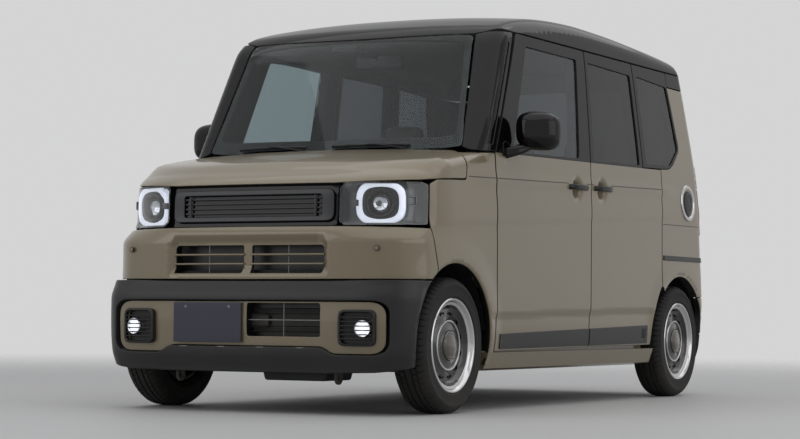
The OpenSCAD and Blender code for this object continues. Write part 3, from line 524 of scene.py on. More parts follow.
# %% Outlines: rounding their corners and spacing their points
def trace(points, step, corner=6.0):
    points = [(*p, corner) if len(p) == 2 else p for p in points]
    rounded_line = []
    for i, (x, y, r) in enumerate(points):
        b = np.array([x, y], float)
        u = np.array(points[i - 1][:2], float) - b
        v = np.array(points[(i + 1) % len(points)][:2], float) - b
        lu, lv = np.linalg.norm(u), np.linalg.norm(v)
        cut = min(r, 0.45 * lu, 0.45 * lv)
        if cut < 0.8:
            rounded_line.append(b)
            continue
        p, q = b + u / lu * cut, b + v / lv * cut
        count = 3 + int(min(cut, 60) / 8)
        for k in range(count + 1):
            t = k / count
            rounded_line.append((1 - t) ** 2 * p + 2 * t * (1 - t) * b + t * t * q)
    out = []
    for i, p in enumerate(rounded_line):
        q = rounded_line[(i + 1) % len(rounded_line)]
        pieces = max(1, int(math.ceil(np.linalg.norm(q - p) / step)))
        out += [p + (q - p) * k / pieces for k in range(pieces)]
    out = np.array(out)
    keep = np.linalg.norm(out - np.roll(out, 1, 0), axis=1) > 0.05
    out = out[keep]
    area = np.sum(out[:, 0] * np.roll(out[:, 1], -1) - np.roll(out[:, 0], -1) * out[:, 1])
    return out if area > 0 else out[::-1]

def inset(loop, distance):
    ahead = np.roll(loop, -1, 0) - loop
    behind = loop - np.roll(loop, 1, 0)
    t = ahead / np.linalg.norm(ahead, axis=1, keepdims=True) + behind / np.linalg.norm(behind, axis=1, keepdims=True)
    t /= np.maximum(np.linalg.norm(t, axis=1, keepdims=True), 1e-6)
    return loop + np.column_stack([-t[:, 1], t[:, 0]]) * distance

def inside(points, loop):
    hit = np.zeros(len(points), bool)
    a, b = loop, np.roll(loop, -1, 0)
    for (x1, y1), (x2, y2) in zip(a, b):
        crosses = (y1 > points[:, 1]) != (y2 > points[:, 1])
        with np.errstate(divide="ignore", invalid="ignore"):
            x = x1 + (points[:, 1] - y1) * (x2 - x1) / (y2 - y1)
        hit ^= crosses & (points[:, 0] < x)
    return hit

def net(loop, holes, step, finer=()):
    """Triangles inside a loop and outside its holes, with a net of inner points."""
    low, high = loop.min(0), loop.max(0)
    gx, gy = np.meshgrid(np.arange(low[0] + step / 2, high[0], step), np.arange(low[1] + step / 2, high[1], step))
    gx[1::2] += step / 2
    grid = np.column_stack([gx.ravel(), gy.ravel()])
    for (cx, cy, r, fine) in finer:
        grid = grid[np.hypot(grid[:, 0] - cx, grid[:, 1] - cy) > r]
        fx, fy = np.meshgrid(np.arange(cx - r, cx + r, fine), np.arange(cy - r, cy + r, fine))
        extra = np.column_stack([fx.ravel(), fy.ravel()])
        grid = np.vstack([grid, extra[np.hypot(extra[:, 0] - cx, extra[:, 1] - cy) < r - fine / 2]])
    loops = [loop, *holes]
    keep = inside(grid, loop)
    for hole in holes:
        keep &= ~inside(grid, hole)
    edge_points = np.vstack(loops)
    if len(grid):
        near = np.full(len(grid), 1e9)
        for chunk in np.array_split(edge_points, max(1, len(edge_points) // 200)):
            near = np.minimum(near,
                np.min(np.hypot(grid[:, None, 0] - chunk[None, :, 0], grid[:, None, 1] - chunk[None, :, 1]), axis=1))
        keep &= near > step * 0.45
        grid = grid[keep]
    verts = np.vstack([edge_points, grid])
    edges, start = [], 0
    for one in loops:
        n = len(one)
        edges += [(start + i, start + (i + 1) % n) for i in range(n)]
        start += n
    out, _, faces, _, _, _ = delaunay_2d_cdt([Vector(v) for v in verts], edges, [], 0, 1e-4)
    out = np.array([tuple(v) for v in out])
    faces = np.array([f for f in faces if len(f) == 3])
    middle = out[faces].mean(1)
    good = inside(middle, loop)
    for hole in holes:
        good &= ~inside(middle, hole)
    faces = faces[good]
    a, b, c = (out[faces[:, k]] for k in range(3))
    turn = (b[:, 0] - a[:, 0]) * (c[:, 1] - a[:, 1]) - (b[:, 1] - a[:, 1]) * (c[:, 0] - a[:, 0])
    faces[turn < 0] = faces[turn < 0][:, ::-1]
    return out, faces[np.abs(turn) > 1e-3]
print("outline tools ready")

# %% From outline to folded sheet: the panel maker
pieces_made = {}

def mesh_piece(name, verts, faces, normals, slots, finishes, rides, hide=(), scale=MM):
    mesh = bpy.data.meshes.new(name)
    mesh.from_pydata((np.asarray(verts) * scale).tolist(), [], [tuple(int(i) for i in f) for f in faces])
    for finish in finishes:
        mesh.materials.append(finish)
    mesh.polygons.foreach_set("material_index", np.asarray(slots, dtype=np.int32))
    mesh.polygons.foreach_set("use_smooth", np.ones(len(faces), dtype=bool))
    mesh.update()
    if normals is not None:
        mesh.normals_split_custom_set_from_vertices(np.asarray(normals).tolist())
    piece = bpy.data.objects.new(name, mesh)
    scene.collection.objects.link(piece)
    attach(piece, rides)
    if hide:
        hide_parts(*hide)
    pieces_made[name] = piece
    return piece

def unit(v):
    return v / np.maximum(np.linalg.norm(v, axis=1, keepdims=True), 1e-9)

def sheet_mesh(outline, place, form=body, holes=(), depth=60.0, step=16.0, edge=2.4, sink=0.0,
               corner=6.0, hole_corner=14.0, finer=(), back=True):
    outer = trace(outline, step, corner)
    cut = [trace(h, step, hole_corner) for h in holes]
    loops = [inset(outer, edge)] + [inset(h, -edge) for h in cut]
    flat, tris = net(loops[0], loops[1:], step, finer)
    origin, ray = place(flat)
    top = meet(form, origin, ray)
    up = normals_at(form, top)
    verts, norms, faces, slots = [top - ray * sink], [up], [tris], [np.zeros(len(tris), int)]
    count = len(top)
    flip = np.sum(np.cross(top[tris[:, 1]] - top[tris[:, 0]], top[tris[:, 2]] - top[tris[:, 0]]) * up[tris[:, 0]]) < 0
    if flip:
        tris = tris[:, ::-1]
        faces = [tris]
    start = 0
    for original, inner in zip([outer] + cut, loops):
        n = len(inner)
        ids = np.arange(start, start + n)
        start += n
        hole = original is not outer
        layers = [ids]
        o0, r0 = place(original)
        rim = meet(form, o0, r0)
        face_n = up[ids]
        along = unit(np.roll(rim, -1, 0) - np.roll(rim, 1, 0))
        out_way = unit(np.cross(along, face_n))
        if np.sum(out_way * (rim - top[ids])) < 0:
            out_way = -out_way
        for share, drop, tilt in ((0.71, 0.29, 0.62), (1.0, 1.0, 1.0)):
            verts.append(top[ids] + (rim - top[ids]) * share - r0 * (sink + edge * drop))
            norms.append(unit(face_n * (1 - tilt) + out_way * tilt))
            layers.append(np.arange(count, count + n))
            count += n
        verts.append(rim - r0 * (sink + depth))
        norms.append(out_way)
        layers.append(np.arange(count, count + n))
        count += n
        ring = []
        for k in range(3):
            a, b = layers[k], layers[k + 1]
            a2, b2 = np.roll(a, -1), np.roll(b, -1)
            ring += [np.column_stack([a, b, b2]), np.column_stack([a, b2, a2])]
        ring = np.vstack(ring)
        if flip:
            ring = ring[:, ::-1]
        if hole:
            ring = ring[:, ::-1]
        # turn the strip so that it faces outwards
        every = np.vstack(verts)
        f = ring[0]
        side = np.cross(every[ring[:, 1]] - every[ring[:, 0]], every[ring[:, 2]] - every[ring[:, 0]])
        if np.sum(side * np.vstack(norms)[ring[:, 0]]) < 0:
            ring = ring[:, ::-1]
        faces.append(ring)
        slots.append(np.where(np.arange(len(ring)) < 4 * n, 0, 1))
    if back:
        rough = max(step * 3, 45)
        flat2, tris2 = net(outer, cut, rough)
        o2, r2 = place(flat2)
        low = meet(form, o2, r2)
        down = -normals_at(form, low)
        low = low - r2 * (sink + depth)
        look = np.sum(np.cross(low[tris2[:, 1]] - low[tris2[:, 0]],
            low[tris2[:, 2]] - low[tris2[:, 0]]) * down[tris2[:, 0]])
        if look < 0:
            tris2 = tris2[:, ::-1]
        verts.append(low)
        norms.append(down)
        faces.append(tris2 + count)
        slots.append(np.ones(len(tris2), int))
        count += len(low)
    return np.vstack(verts), np.vstack(faces), np.vstack(norms), np.concatenate(slots)

def panel(name, outline, place, rides, skin, lining=None, both=False, hide=(), **shape):
    """One panel, or a left and a right one; a rides or hide with {} takes the side's name."""
    v, f, n, s = sheet_mesh(outline, place, **shape)
    finishes = [skin, lining or skin]
    if not both:
        print(name, len(f), "triangles")
        return mesh_piece(name, v, f, n, s, finishes, rides, hide)
    turn = np.array([-1.0, 1, 1])
    made = []
    for side, vv, ff, nn in (("left", v, f, n), ("right", v * turn, f[:, ::-1], n * turn)):
        made.append(mesh_piece(f"{name}_{side}", vv, ff, nn, s, finishes, rides.format(side),
                               [h.format(side) for h in hide]))
    print(name, "x 2,", len(f), "triangles each")
    return made

# %% [markdown]
# ## The body sides
# The front door hinges and the rear door slides, so the side is three panels, the
# front door's on its own body, with even 8 mm seams between them. The painted skin ends under
# the glass, and above it a gloss black frame holds the glass, as on the real door.

# %% Seam lines of the side, as (y, z)
def belt(y):
    return 1098 + 0.021 * (y + 640)

def lean_y(z):
    return DOOR_Y + max(0.0, z - 1100) * 0.53

def arc(cy, r, a0, a1, count=18):
    return [(cy + r * math.sin(math.radians(a0 + (a1 - a0) * k / count)),
             WHEEL_Z + r * math.cos(math.radians(a0 + (a1 - a0) * k / count)), 0) for k in range(count + 1)]

ROOF_SEAM, DOOR_LOW, GAP = 1640.0, 250.0, 3.5
front_skin = [(DOOR_Y + GAP, DOOR_LOW), (DOOR_Y + GAP - 3, 700, 0), (DOOR_Y + GAP - 14, 1000, 0),
    (DOOR_Y + GAP - 20, belt(-850)),
              (MID_Y - GAP, belt(MID_Y), 2), (MID_Y - GAP, DOOR_LOW + 10)]
front_frame = [(DOOR_Y + GAP - 20, belt(-850) - 2, 2), (lean_y(ROOF_SEAM) - 8, ROOF_SEAM - GAP, 20),
    (MID_Y + 22 - GAP, ROOF_SEAM - GAP),
               (MID_Y - GAP, belt(MID_Y) - 2, 2)]
front_pane = [(-690, belt(-690) + 12), (-474, 1588), (MID_Y - 78, 1586), (MID_Y - 128, belt(30) + 14)]
panel("front_door_skin", front_skin, side_on, "front_door_{}", khaki, trim_dark, both=True, hide=("front_door_{}",),
      step=15, finer=((MID_Y - 160, 986, 72, 6),))
panel("front_door_frame", front_frame, side_on, "front_door_{}", gloss_black, trim_dark, both=True, holes=[front_pane],
      step=22)
panel("front_door_pane", [(y, z, 12) for y, z in front_pane], side_on, "front_door_{}", door_glass, both=True,
      hide=("front_door_glass_{}",),
      sink=7, depth=4.5, step=26, edge=0.8)
slide_skin = [(MID_Y + GAP, DOOR_LOW + 12), (MID_Y + GAP, belt(MID_Y), 2), (REAR_Y - GAP, belt(REAR_Y), 3),
    (REAR_Y - GAP, 552, 12),
              *[p for p in arc(REAR_AXLE, 378, -42, -88, 14)], (REAR_AXLE - 381, DOOR_LOW + 14)]
slide_frame = [(MID_Y + GAP, belt(MID_Y) - 2, 2), (MID_Y + 22 + GAP, ROOF_SEAM - GAP), (750 - GAP, ROOF_SEAM - GAP),
    (797 - GAP, belt(800) - 2, 2)]
slide_pane = [(MID_Y + 46, belt(200) + 12), (MID_Y + 54, 1586), (716, 1576), (757, belt(760) + 12)]
panel("sliding_door_skin", slide_skin, side_on, "body", khaki, trim_dark, both=True, hide=("sliding_door_{}",),
      step=15, finer=((MID_Y + 128, 994, 72, 6),))
panel("sliding_door_frame", slide_frame, side_on, "body", gloss_black, trim_dark, both=True, holes=[slide_pane],
      step=22)
panel("sliding_door_pane", [(y, z, 12) for y, z in slide_pane], side_on, "body", privacy_glass, both=True, sink=7,
      depth=4.5, step=26, edge=0.8)
print("seam lines of the side: done")

# %% [markdown]
# The rear quarter is painted up to the roof behind its window, and black ahead of
# it, where the sliding door's seam stands beside the glass. It wraps round the rear
# corner to the tailgate, so it is cut in a strip that turns the corner.

# %% The rear quarter, its black band and its window
def t(y):
    return tail_s(730, y)

KHAKI_TOP = 1562.0
quarter_pane = [(848, 1152), (799, 1580), (1190, 1562), (1284, 1250), (1165, 1161)]
black_band = [(797 + GAP, belt(800) + 3), (750 + GAP, ROOF_SEAM - GAP), (1199, ROOF_SEAM - GAP, 3), (1201, 1596, 4),
    (1204, 1566, 20), (1300, 1250, 30), (1176, 1146, 60), (1040, belt(1040) + 6, 3)]
panel("quarter_band", black_band, side_on, "body", gloss_black, trim_dark, both=True, holes=[quarter_pane], step=18,
      depth=58)
panel("quarter_pane", [(y, z, 14) for y, z in quarter_pane], side_on, "body", privacy_glass, both=True, sink=6,
      depth=4.5, step=26, edge=0.8)
gate_s = 645 + 4
quarter_skin = [(t(REAR_Y + GAP), belt(REAR_Y) + 3, 2), (t(1178), 1144, 60), (t(1304), 1250, 30),
    (t(1207), KHAKI_TOP, 12),
                (gate_s, KHAKI_TOP - 4), (gate_s, 1184, 4), (t(1530), 1184, 10), (t(1566), 820, 10), (gate_s, 820, 4),
                (gate_s, 504, 4), (t(1540), 504, 0), (t(REAR_AXLE + 233), 504, 3),
                *[(t(y), z, 0) for y, z, _ in arc(REAR_AXLE, 327, 44, -40, 26)], (t(REAR_Y + GAP), 556, 6)]
panel("rear_quarter", quarter_skin, round_tail, "body", khaki, trim_dark, both=True, hide=("quarter_panels",) , step=15,
      depth=40)
roof_side = [(t(1204), 1600, 3), (t(1202), ROOF_SEAM - GAP, 3), (t(1500), ROOF_SEAM, 3), (gate_s, ROOF_SEAM),
             (gate_s, KHAKI_TOP + 1, 3), (t(1205), KHAKI_TOP + 5, 3)]
panel("quarter_roof_rail", roof_side, round_tail, "body", gloss_black, trim_dark, both=True, step=20, depth=40)
print("the rear quarter: done")

# %% [markdown]
# ## Roof, pillars and windscreen
# The roof is laid on the body by rays that fan out from a line along the cabin, so
# that its rolled edges are met squarely. The front pillars lean with the windscreen,
# so their rays turn about a leaning line, and a small pane stands in each pillar.

# %% Roof, front pillars, windscreen and its dark border
half_roof = [(roof_u(x, 1634), -788 + x * x / 4920, 0) for x in range(0, 561, 70)]
half_roof += [(roof_u(604, 1634), -702, 20), (roof_u(679, 1643.5), -596, 50), (roof_u(679, 1643.5), 1429, 6),
    (0, 1429, 0)]
roof_line = half_roof[:-1] + [(-u, y, r) for u, y, r in half_roof[:-1][::-1] if u > 0]
panel("roof_skin", roof_line, over_roof, "body", gloss_black, trim_light, hide=("roof",), step=26, depth=40, corner=20)
pillar_line = [(pillar_u(631, -982, 1112), 1112, 4), (pillar_u(612, -910, 1250), 1250, 0),
    (pillar_u(588, -820, 1430), 1430, 0),
               (pillar_u(563, -722, 1622), 1622, 6), (pillar_u(604, -698, 1634), 1634, 10),
               (pillar_u(676, lean_y(1638) - 30, 1638), 1638, 10),
               (pillar_u(700, lean_y(1440) - 27, 1440), 1440, 0), (pillar_u(722, lean_y(1220) - 27, 1220), 1220, 0),
               (pillar_u(729, DOOR_Y - 24, 1098), 1098, 4), (pillar_u(722, -960, 1094), 1094, 10),
               (pillar_u(690, -1010, 1098), 1098, 20)]
vent = [(pillar_u(724, -938, 1124), 1124, 10), (pillar_u(728, -886, 1124), 1124, 10),
        (pillar_u(693, -644, 1588), 1588, 10), (pillar_u(688, -672, 1588), 1588, 10)]
panel("front_pillar", pillar_line, round_pillar, "body", gloss_black, trim_dark, both=True, hide=("pillars",),
      holes=[vent], step=18, depth=26)
panel("vent_pane", vent, round_pillar, "body", privacy_glass, both=True, sink=5, depth=4, step=20, edge=0.8)
glass_line = [(0, 1100, 0), (330, 1101, 0), (560, 1107, 0), (627, 1115, 16), (596, 1330, 0), (558, 1618, 30),
    (300, 1630, 0), (0, 1634, 0)]
glass_line = glass_line[:-1] + [glass_line[-1]] + [(-x, z, r) for x, z, r in glass_line[1:-1][::-1]]
panel("windscreen_glass", glass_line, head_on, "body", screen_glass, hide=("windscreen", "side_windows"),
      form=cabin_form, sink=3, depth=5, step=40, edge=0.8)
clear_part = [(0, 1150, 0), (520, 1156, 60), (592, 1168, 40), (566, 1350, 0), (528, 1588, 50), (300, 1600, 0),
    (0, 1604, 0)]
clear_part = clear_part[:-1] + [clear_part[-1]] + [(-x, z, r) for x, z, r in clear_part[1:-1][::-1]]
panel("windscreen_border", [(x * 0.998, z, r) for x, z, r in glass_line], head_on, "body", gloss_black, form=cabin_form,
      holes=[clear_part], sink=8.6, depth=1.2, step=36, edge=0.4)
print("roof: done")

# %% [markdown]
# ## Bonnet and front fenders
# The bonnet wraps over the tops of the fenders and runs down to the headlamps, so it
# is laid on with rays that spread like those of a dome. The fender is cut in the
# strip that turns the nose's corner, round the arch and up to the pillar's foot.

# %% Bonnet and fenders
bonnet_half = [(x, -1638 + 6 * (x / 405) ** 2, 937) for x in range(0, 401, 25)]
bonnet_half += [(440, -1622, 938), (480, -1608, 939), (515, -1592, 940), (550, -1575, 941), (596, -1549, 942),
    (640, -1520, 944), (700, -1460, 948), (728, -1390, 953), (733, -1250, 960), (732, -1144, 965), (728, -1136, 1020),
    (716, -1126, 1082),
               (694, -1080, 1098), (640, -1034, 1104), (547, -1054, 1104), (400, -1082, 1106), (200, -1106, 1108),
               (0, -1114, 1109)]
bonnet_line = [(*dome_uv(*q), 14 if q[0] in (732, 716, 640) else 0) for q in bonnet_half]
bonnet_line = bonnet_line + [(-u, v, r) for u, v, r in bonnet_line[1:-1][::-1]]
panel("bonnet_skin", bonnet_line, over_bonnet, "bonnet", khaki, dark_plastic, hide=("bonnet",), step=17, depth=22,
      edge=2.2)

def s(x, y):
    return nose_s(x, y)

FR = 335.0
arch_front = [(s(735, FRONT_AXLE + FR * math.sin(math.radians(a))), WHEEL_Z + FR * math.cos(math.radians(a)),
    0) for a in np.linspace(104, -28.5, 34)]
fender_line = [(s(730, -1384), 948, 3), (s(733, -1250), 955, 0), (s(732, -1140), 960, 10), (s(728, -1128), 1020, 0),
    (s(720, -1120), 1078, 16),
               (s(729, DOOR_Y - GAP - 22), 1090, 4), (s(732, DOOR_Y - GAP - 16), 1000, 0),
               (s(735, DOOR_Y - GAP - 3), 700, 0), (s(735, DOOR_Y - GAP), 172, 8)]
fender_line += arch_front + [(s(731, -1434), 752, 4), (s(729, -1436), 800, 0), (s(727, -1430), 930, 10)]
panel("front_fender", fender_line, round_nose, "body", khaki, dark_plastic, both=True, hide=("fenders",), step=15,
      depth=16, edge=3.0)
print("bonnet and fenders: done")

# %% [markdown]
# ## Small makers: recesses, turned parts and swept bars
# Openings need walls, round parts need a turned profile and trims need a section
# drawn along a path. These helpers make them as clean quads, where joined
# stock solids would show flat caps and sharp creases.

# %% A recess behind an outline, a turned part, a swept bar and a soft block
def recess(name, outline, place, rides, finish, depth=40.0, form=body, step=18, corner=6.0, shallow=1.0, both=False,
           taper=0.0, floor_finish=None, closed=True):
    loop = trace(outline, step, corner)
    levels = [0.0, 0.34, 0.67, 1.0]
    verts, faces = [], []
    for k, share in enumerate(levels):
        ring = inset(loop, taper * share)
        o, r = place(ring)
        verts.append(meet(form, o, r) - r * (shallow + depth * share))
    n = len(loop)
    for k in range(3):
        a = np.arange(n) + k * n
        b = a + n
        faces.append(np.column_stack([a, np.roll(a, -1), np.roll(b, -1)]))
        faces.append(np.column_stack([a, np.roll(b, -1), b]))
    slots = [np.zeros(len(f), int) for f in faces]
    flat, tris = net(inset(loop, taper), [], step * 2.2)
    o, r = place(flat)
    floor_v = meet(form, o, r) - r * (shallow + depth)
    if closed:
        faces.append(tris + 4 * n)
        slots.append(np.ones(len(tris), int))
    v = np.vstack(verts + [floor_v] if closed else verts)
    f = np.vstack(faces)
    middle = v[:n].mean(0)
    wall = f[: 6 * n]
    look = np.cross(v[wall[:, 1]] - v[wall[:, 0]], v[wall[:, 2]] - v[wall[:, 0]])
    if np.sum(look * (middle - v[wall[:, 0]])) < 0:
        f[: 6 * n] = wall[:, ::-1]
    base = f[6 * n:]
    look = np.cross(v[base[:, 1]] - v[base[:, 0]], v[base[:, 2]] - v[base[:, 0]])
    if closed and np.sum(look * r[0]) < 0:
        f[6 * n:] = base[:, ::-1]
    finishes = [finish, floor_finish or finish]
    if not both:
        piece = mesh_piece(name, v, f, None, np.concatenate(slots), finishes, rides)
        crisp(piece)
        return piece
    for side, sign in (("left", 1), ("right", -1)):
        crisp(mesh_piece(f"{name}_{side}", v * [sign, 1, 1], f if sign > 0 else f[:, ::-1], None, np.concatenate(slots),
            finishes, rides.format(side)))

def crisp(piece, angle=35):
    piece.data.set_sharp_from_angle(angle=math.radians(angle))
    return piece

def frame_at(origin, forward, up=(0, 0, 1)):
    """A matrix whose Z runs along forward, for turned parts."""
    z = Vector(forward).normalized()
    x = Vector(up).cross(z)
    x = x.normalized() if x.length > 1e-6 else Vector((1, 0, 0))
    y = z.cross(x)
    return Matrix.Translation(Vector(origin)) @ Matrix((x, y, z)).transposed().to_4x4()

def turned(name, profile, matrix, rides, finish, count=64, squircle=None, hide=(), mirror=False, slots=None,
           finishes=None):
    """Profile points (radius, height) turned about Z; squircle shapes the radius by angle."""
    angle = np.arange(count) / count * 2 * math.pi
    verts = []
    for i, (r, h) in enumerate(profile):
        k = squircle(angle, i) if squircle else 1.0
        ring = np.column_stack([np.cos(angle) * r * k, np.sin(angle) * r * k, np.full(count, h)])
        verts.append(ring)
    v = np.vstack(verts)
    v = v @ np.array(matrix.to_3x3()).T + np.array(matrix.translation)
    faces, mat = [], []
    for k in range(len(profile) - 1):
        a = np.arange(count) + k * count
        b = a + count
        faces.append(np.column_stack([a, np.roll(a, -1), np.roll(b, -1), b]))
        mat.append(np.full(count, slots[k] if slots else 0))
    f = np.vstack(faces)
    if mirror:
        v = v * [-1, 1, 1]
        f = f[:, ::-1]
    return crisp(mesh_piece(name, v, f, None, np.concatenate(mat), finishes or [finish], rides, hide), 28)

def lone_or_pair(name, v, faces, rides, finish, both, hide, sharp):
    """One piece, or a left and a mirrored right one whose faces are turned over."""
    if not both:
        return crisp(mesh_piece(name, v, faces, None, np.zeros(len(faces), int), [finish], rides, hide), sharp)
    for side, sign in (("left", 1), ("right", -1)):
        crisp(mesh_piece(f"{name}_{side}", v * [sign, 1, 1], faces if sign > 0 else [f[::-1] for f in faces], None,
                         np.zeros(len(faces), int), [finish], rides.format(side), [h.format(side) for h in hide]),
                         sharp)

def swept(name, path, section, rides, finish, closed=False, up=(0, 0, 1), both=False, hide=(), sharp=40):
    """A section of (across, upwards) points drawn along a path of (x, y, z)."""
    path = np.array(path, float)
    ahead = np.roll(path, -1, 0) - path
    behind = path - np.roll(path, 1, 0)
    if not closed:
        ahead[-1], behind[0] = behind[-1], ahead[0]
    t = unit(unit(ahead) + unit(behind))
    across = unit(np.cross(t, np.tile(up, (len(path), 1))))
    rise = np.cross(across, t)
    section = np.array(section, float)
    m = len(section)
    v = (path[:, None] + across[:, None] * section[None, :, :1] + rise[:, None] * section[None, :, 1:]).reshape(-1, 3)
    faces = []
    rings = len(path) if closed else len(path) - 1
    for i in range(rings):
        j = (i + 1) % len(path)
        for k in range(m):
            faces.append((i * m + k, i * m + (k + 1) % m, j * m + (k + 1) % m, j * m + k))
    if not closed:
        faces.append(tuple(range(m))[::-1])
        faces.append(tuple((len(path) - 1) * m + k for k in range(m)))
    centre = path[0]
    f0 = faces[0]
    look = np.cross(v[f0[1]] - v[f0[0]], v[f0[2]] - v[f0[0]])
    if np.dot(look, v[f0[0]] - centre) < 0:
        faces = [f[::-1] for f in faces]
    return lone_or_pair(name, v, faces, rides, finish, both, hide, sharp)

def oval(w, h, n=12, power=2.6):
    a = np.arange(n) / n * 2 * math.pi
    return np.column_stack([np.sign(np.cos(a)) * np.abs(np.cos(a)) ** (2 / power) * w / 2,
        np.sign(np.sin(a)) * np.abs(np.sin(a)) ** (2 / power) * h / 2])

def soft_block(name, low, high, r, rides, finish, both=False, shape=None, hide=()):
    """A moulded block: rounded edges, and shape may move its points."""
    bm = bmesh.new()
    bmesh.ops.create_cube(bm, size=1)
    low, high = np.array(low, float), np.array(high, float)
    for v in bm.verts:
        v.co = Vector((np.array(v.co) + 0.5) * (high - low) + low)
    bmesh.ops.bevel(bm, geom=bm.edges[:], offset=r, segments=4, profile=0.6, affect="EDGES")
    bmesh.ops.subdivide_edges(bm, edges=[e for e in bm.edges if e.calc_length() > 3 * r + 12], cuts=5,
        use_grid_fill=True)
    bmesh.ops.triangulate(bm, faces=[f for f in bm.faces if len(f.verts) > 4])
    if shape:
        for v in bm.verts:
            v.co = Vector(shape(*v.co))
    verts = np.array([tuple(v.co) for v in bm.verts])
    bm.verts.index_update()
    faces = [tuple(v.index for v in f.verts) for f in bm.faces]
    bm.free()
    return lone_or_pair(name, verts, faces, rides, finish, both, hide, 50)
print("makers ready")

# %% [markdown]
# ## The nose
# The bumper skin carries a sunk grille with two slats, the black guard stands
# proud of it, and inside the guard's opening sits a painted insert with the fog
# lamps, the plate and the lower intake. Each is a panel on its own form.

# %% Forms of the bumper's recess, the guard and its insert
def edge_distance(x, z, half, z0, z1, chamfer):
    a = np.abs(x)
    return np.minimum.reduce([half - a, z - z0, z1 - z, (half - a + z1 - z - chamfer) * 0.707])

def bumper_form(p):
    x, y, z = p.T
    d = edge_distance(x, z, 384, 560, 730, 42)
    low = 24 * np.clip(d / 30, 0, 1)
    return body(p) + np.where(y < -1500, low, 0)

def insert_form(p):
    x, y, z = p.T
    fold = 8 * np.abs(z - 372) / 90
    return guard_form(p) + 11 + 0.5 * fold * (z < 372) + 0.3 * fold * (z >= 372)

def whole(half):
    """A left half outline, joined to its mirror image."""
    half = [(*q, 6.0) if len(q) == 2 else q for q in half]
    return half + [(-u, v, r) for u, v, r in half[::-1] if u > 1e-6]

arch_cut = [(s(736, FRONT_AXLE + FR * math.sin(math.radians(a))), WHEEL_Z + FR * math.cos(math.radians(a)),
             0) for a in np.linspace(-29.5, -37.0, 5)]
bumper_half = [(0, 756, 0), (s(440, -1620), 754, 0), (s(731, -1438), 749, 3), *arch_cut, (s(700, -1560), 543, 3),
    (0, 541, 0)]
slots_in = [[(20, 566), (20, 679), (354, 679, 16), (354, 566)], [(-354, 566), (-354, 679, 16), (-20, 679), (-20, 566)]]
panel("bumper_skin", whole(bumper_half), round_nose, "body", khaki, dark_plastic, form=bumper_form, holes=slots_in,
      hide=("front_bumper",), step=15, depth=14, edge=2.2, hole_corner=8)
recess("bumper_slot_back", [(-372, 558), (-372, 690), (372, 690), (372, 558)], head_on, "body", sensor_black, depth=70,
       form=bumper_form, shallow=8)
for side, sign in (("left", 1), ("right", -1)):
    for k, z in enumerate((603.5, 641.5)):
        swept(f"bumper_slat_{side}_{k}", [(sign * x, -1654 + 7 * (x / 380) ** 2, z) for x in np.linspace(16, 358, 9)],
            oval(26, 9.5), "body", khaki, sharp=60)
    swept(f"bumper_wire_{side}", [(sign * 190, -1650, z) for z in (564, 600, 640, 681)], oval(3.4, 3.4, 8), "body",
          casting, up=(0, 1, 0))
    turned(f"park_sensor_{side}", [(0.1, 2.0), (7.5, 1.8), (9, 0.6), (9, -6)],
           frame_at((sign * 588, -1641.2, 665), (sign * 0.22, -1, 0)), "body", khaki, 24)
    turned(f"park_sensor_ring_{side}", [(9.4, 1.2), (11, 1.0), (11.6, -5)],
           frame_at((sign * 588, -1641.2, 665), (sign * 0.22, -1, 0)), "body", sensor_black, 24)
print("forms of the bumper's recess: done")

# %% The black guard, the painted insert and its openings
GR = 334.0
guard_arch = [(s(737, FRONT_AXLE + GR * math.sin(math.radians(a))), WHEEL_Z + GR * math.cos(math.radians(a)),
    0) for a in np.linspace(-38.5, -104, 20)]
guard_half = [(0, 538, 0), (s(700, -1560), 539, 0), (s(735, -1443), 539, 2), *guard_arch, (s(730, -1562), 190, 14),
    (s(600, -1660), 172, 10), (380, 165, 0), (0, 165, 0)]
opening = [(-609, 455, 58), (-609, 241, 58), (-412, 241, 20), (-364, 270, 20), (364, 270, 20), (412, 241, 20),
           (609, 241, 58), (609, 455, 58)]
panel("bumper_guard_skin", whole(guard_half), round_nose, "body", guard_plastic, dark_plastic, form=guard_form,
      holes=[opening],
      hide=("bumper_guard",), step=16, depth=30, edge=5.0)
recess("guard_reveal", opening, round_nose, "body", guard_plastic, depth=24, form=guard_form, shallow=4, corner=58,
       taper=1.0, closed=False)
insert_line = [(x * 0.985, 347.5 + (z - 347.5) * 0.972, r) for x, z, r in opening]
intake = [(12, 311, 12), (12, 445, 12), (352, 445, 12), (352, 311, 12)]
fog_holes = [[(sign * 452, 286, 16), (sign * 452, 410, 16), (sign * 556, 410, 16),
    (sign * 556, 286, 16)] for sign in (1, -1)]
panel("bumper_insert", insert_line, round_nose, "body", khaki, dark_plastic, form=insert_form,
      holes=[intake, *fog_holes], step=16, depth=5, edge=2.5, corner=50)
for side, hole in zip(("left", "right"), fog_holes):
    recess(f"fog_back_{side}", hole, round_nose, "body", sensor_black, depth=34, form=insert_form, shallow=3, corner=16)
recess("intake_back", intake, head_on, "body", sensor_black, depth=52, form=insert_form, shallow=5)
swept("intake_bar", [(x, -1668, 377) for x in np.linspace(14, 350, 8)], oval(5, 5, 10), "body", casting)
swept("intake_post", [(182, -1670, z) for z in (312, 345, 380, 444)], oval(4, 4, 8), "body", casting, up=(0, 1, 0))
for k, z in enumerate((330, 352, 402, 424)):
    swept(f"intake_louvre_{k}", [(x, -1650, z) for x in np.linspace(16, 348, 6)], oval(20, 4, 8), "body", dark_plastic)
for k in range(4):
    swept(f"insert_slit_{k}", [(x, -1671 - 0.2 * k, 352 + 13 * k) for x in (-2, 3, 7)], oval(4, 5, 8), "body",
          sensor_black)
    tooth = (-290 + 186 * k)
    swept(f"guard_notch_{k}",
          [(x, guard_y, 266) for x in (tooth - 17, tooth, tooth + 17) for guard_y in [-1692.0 + 5 * (x / 300) ** 2]],
          oval(5, 6, 10), "body", casting)
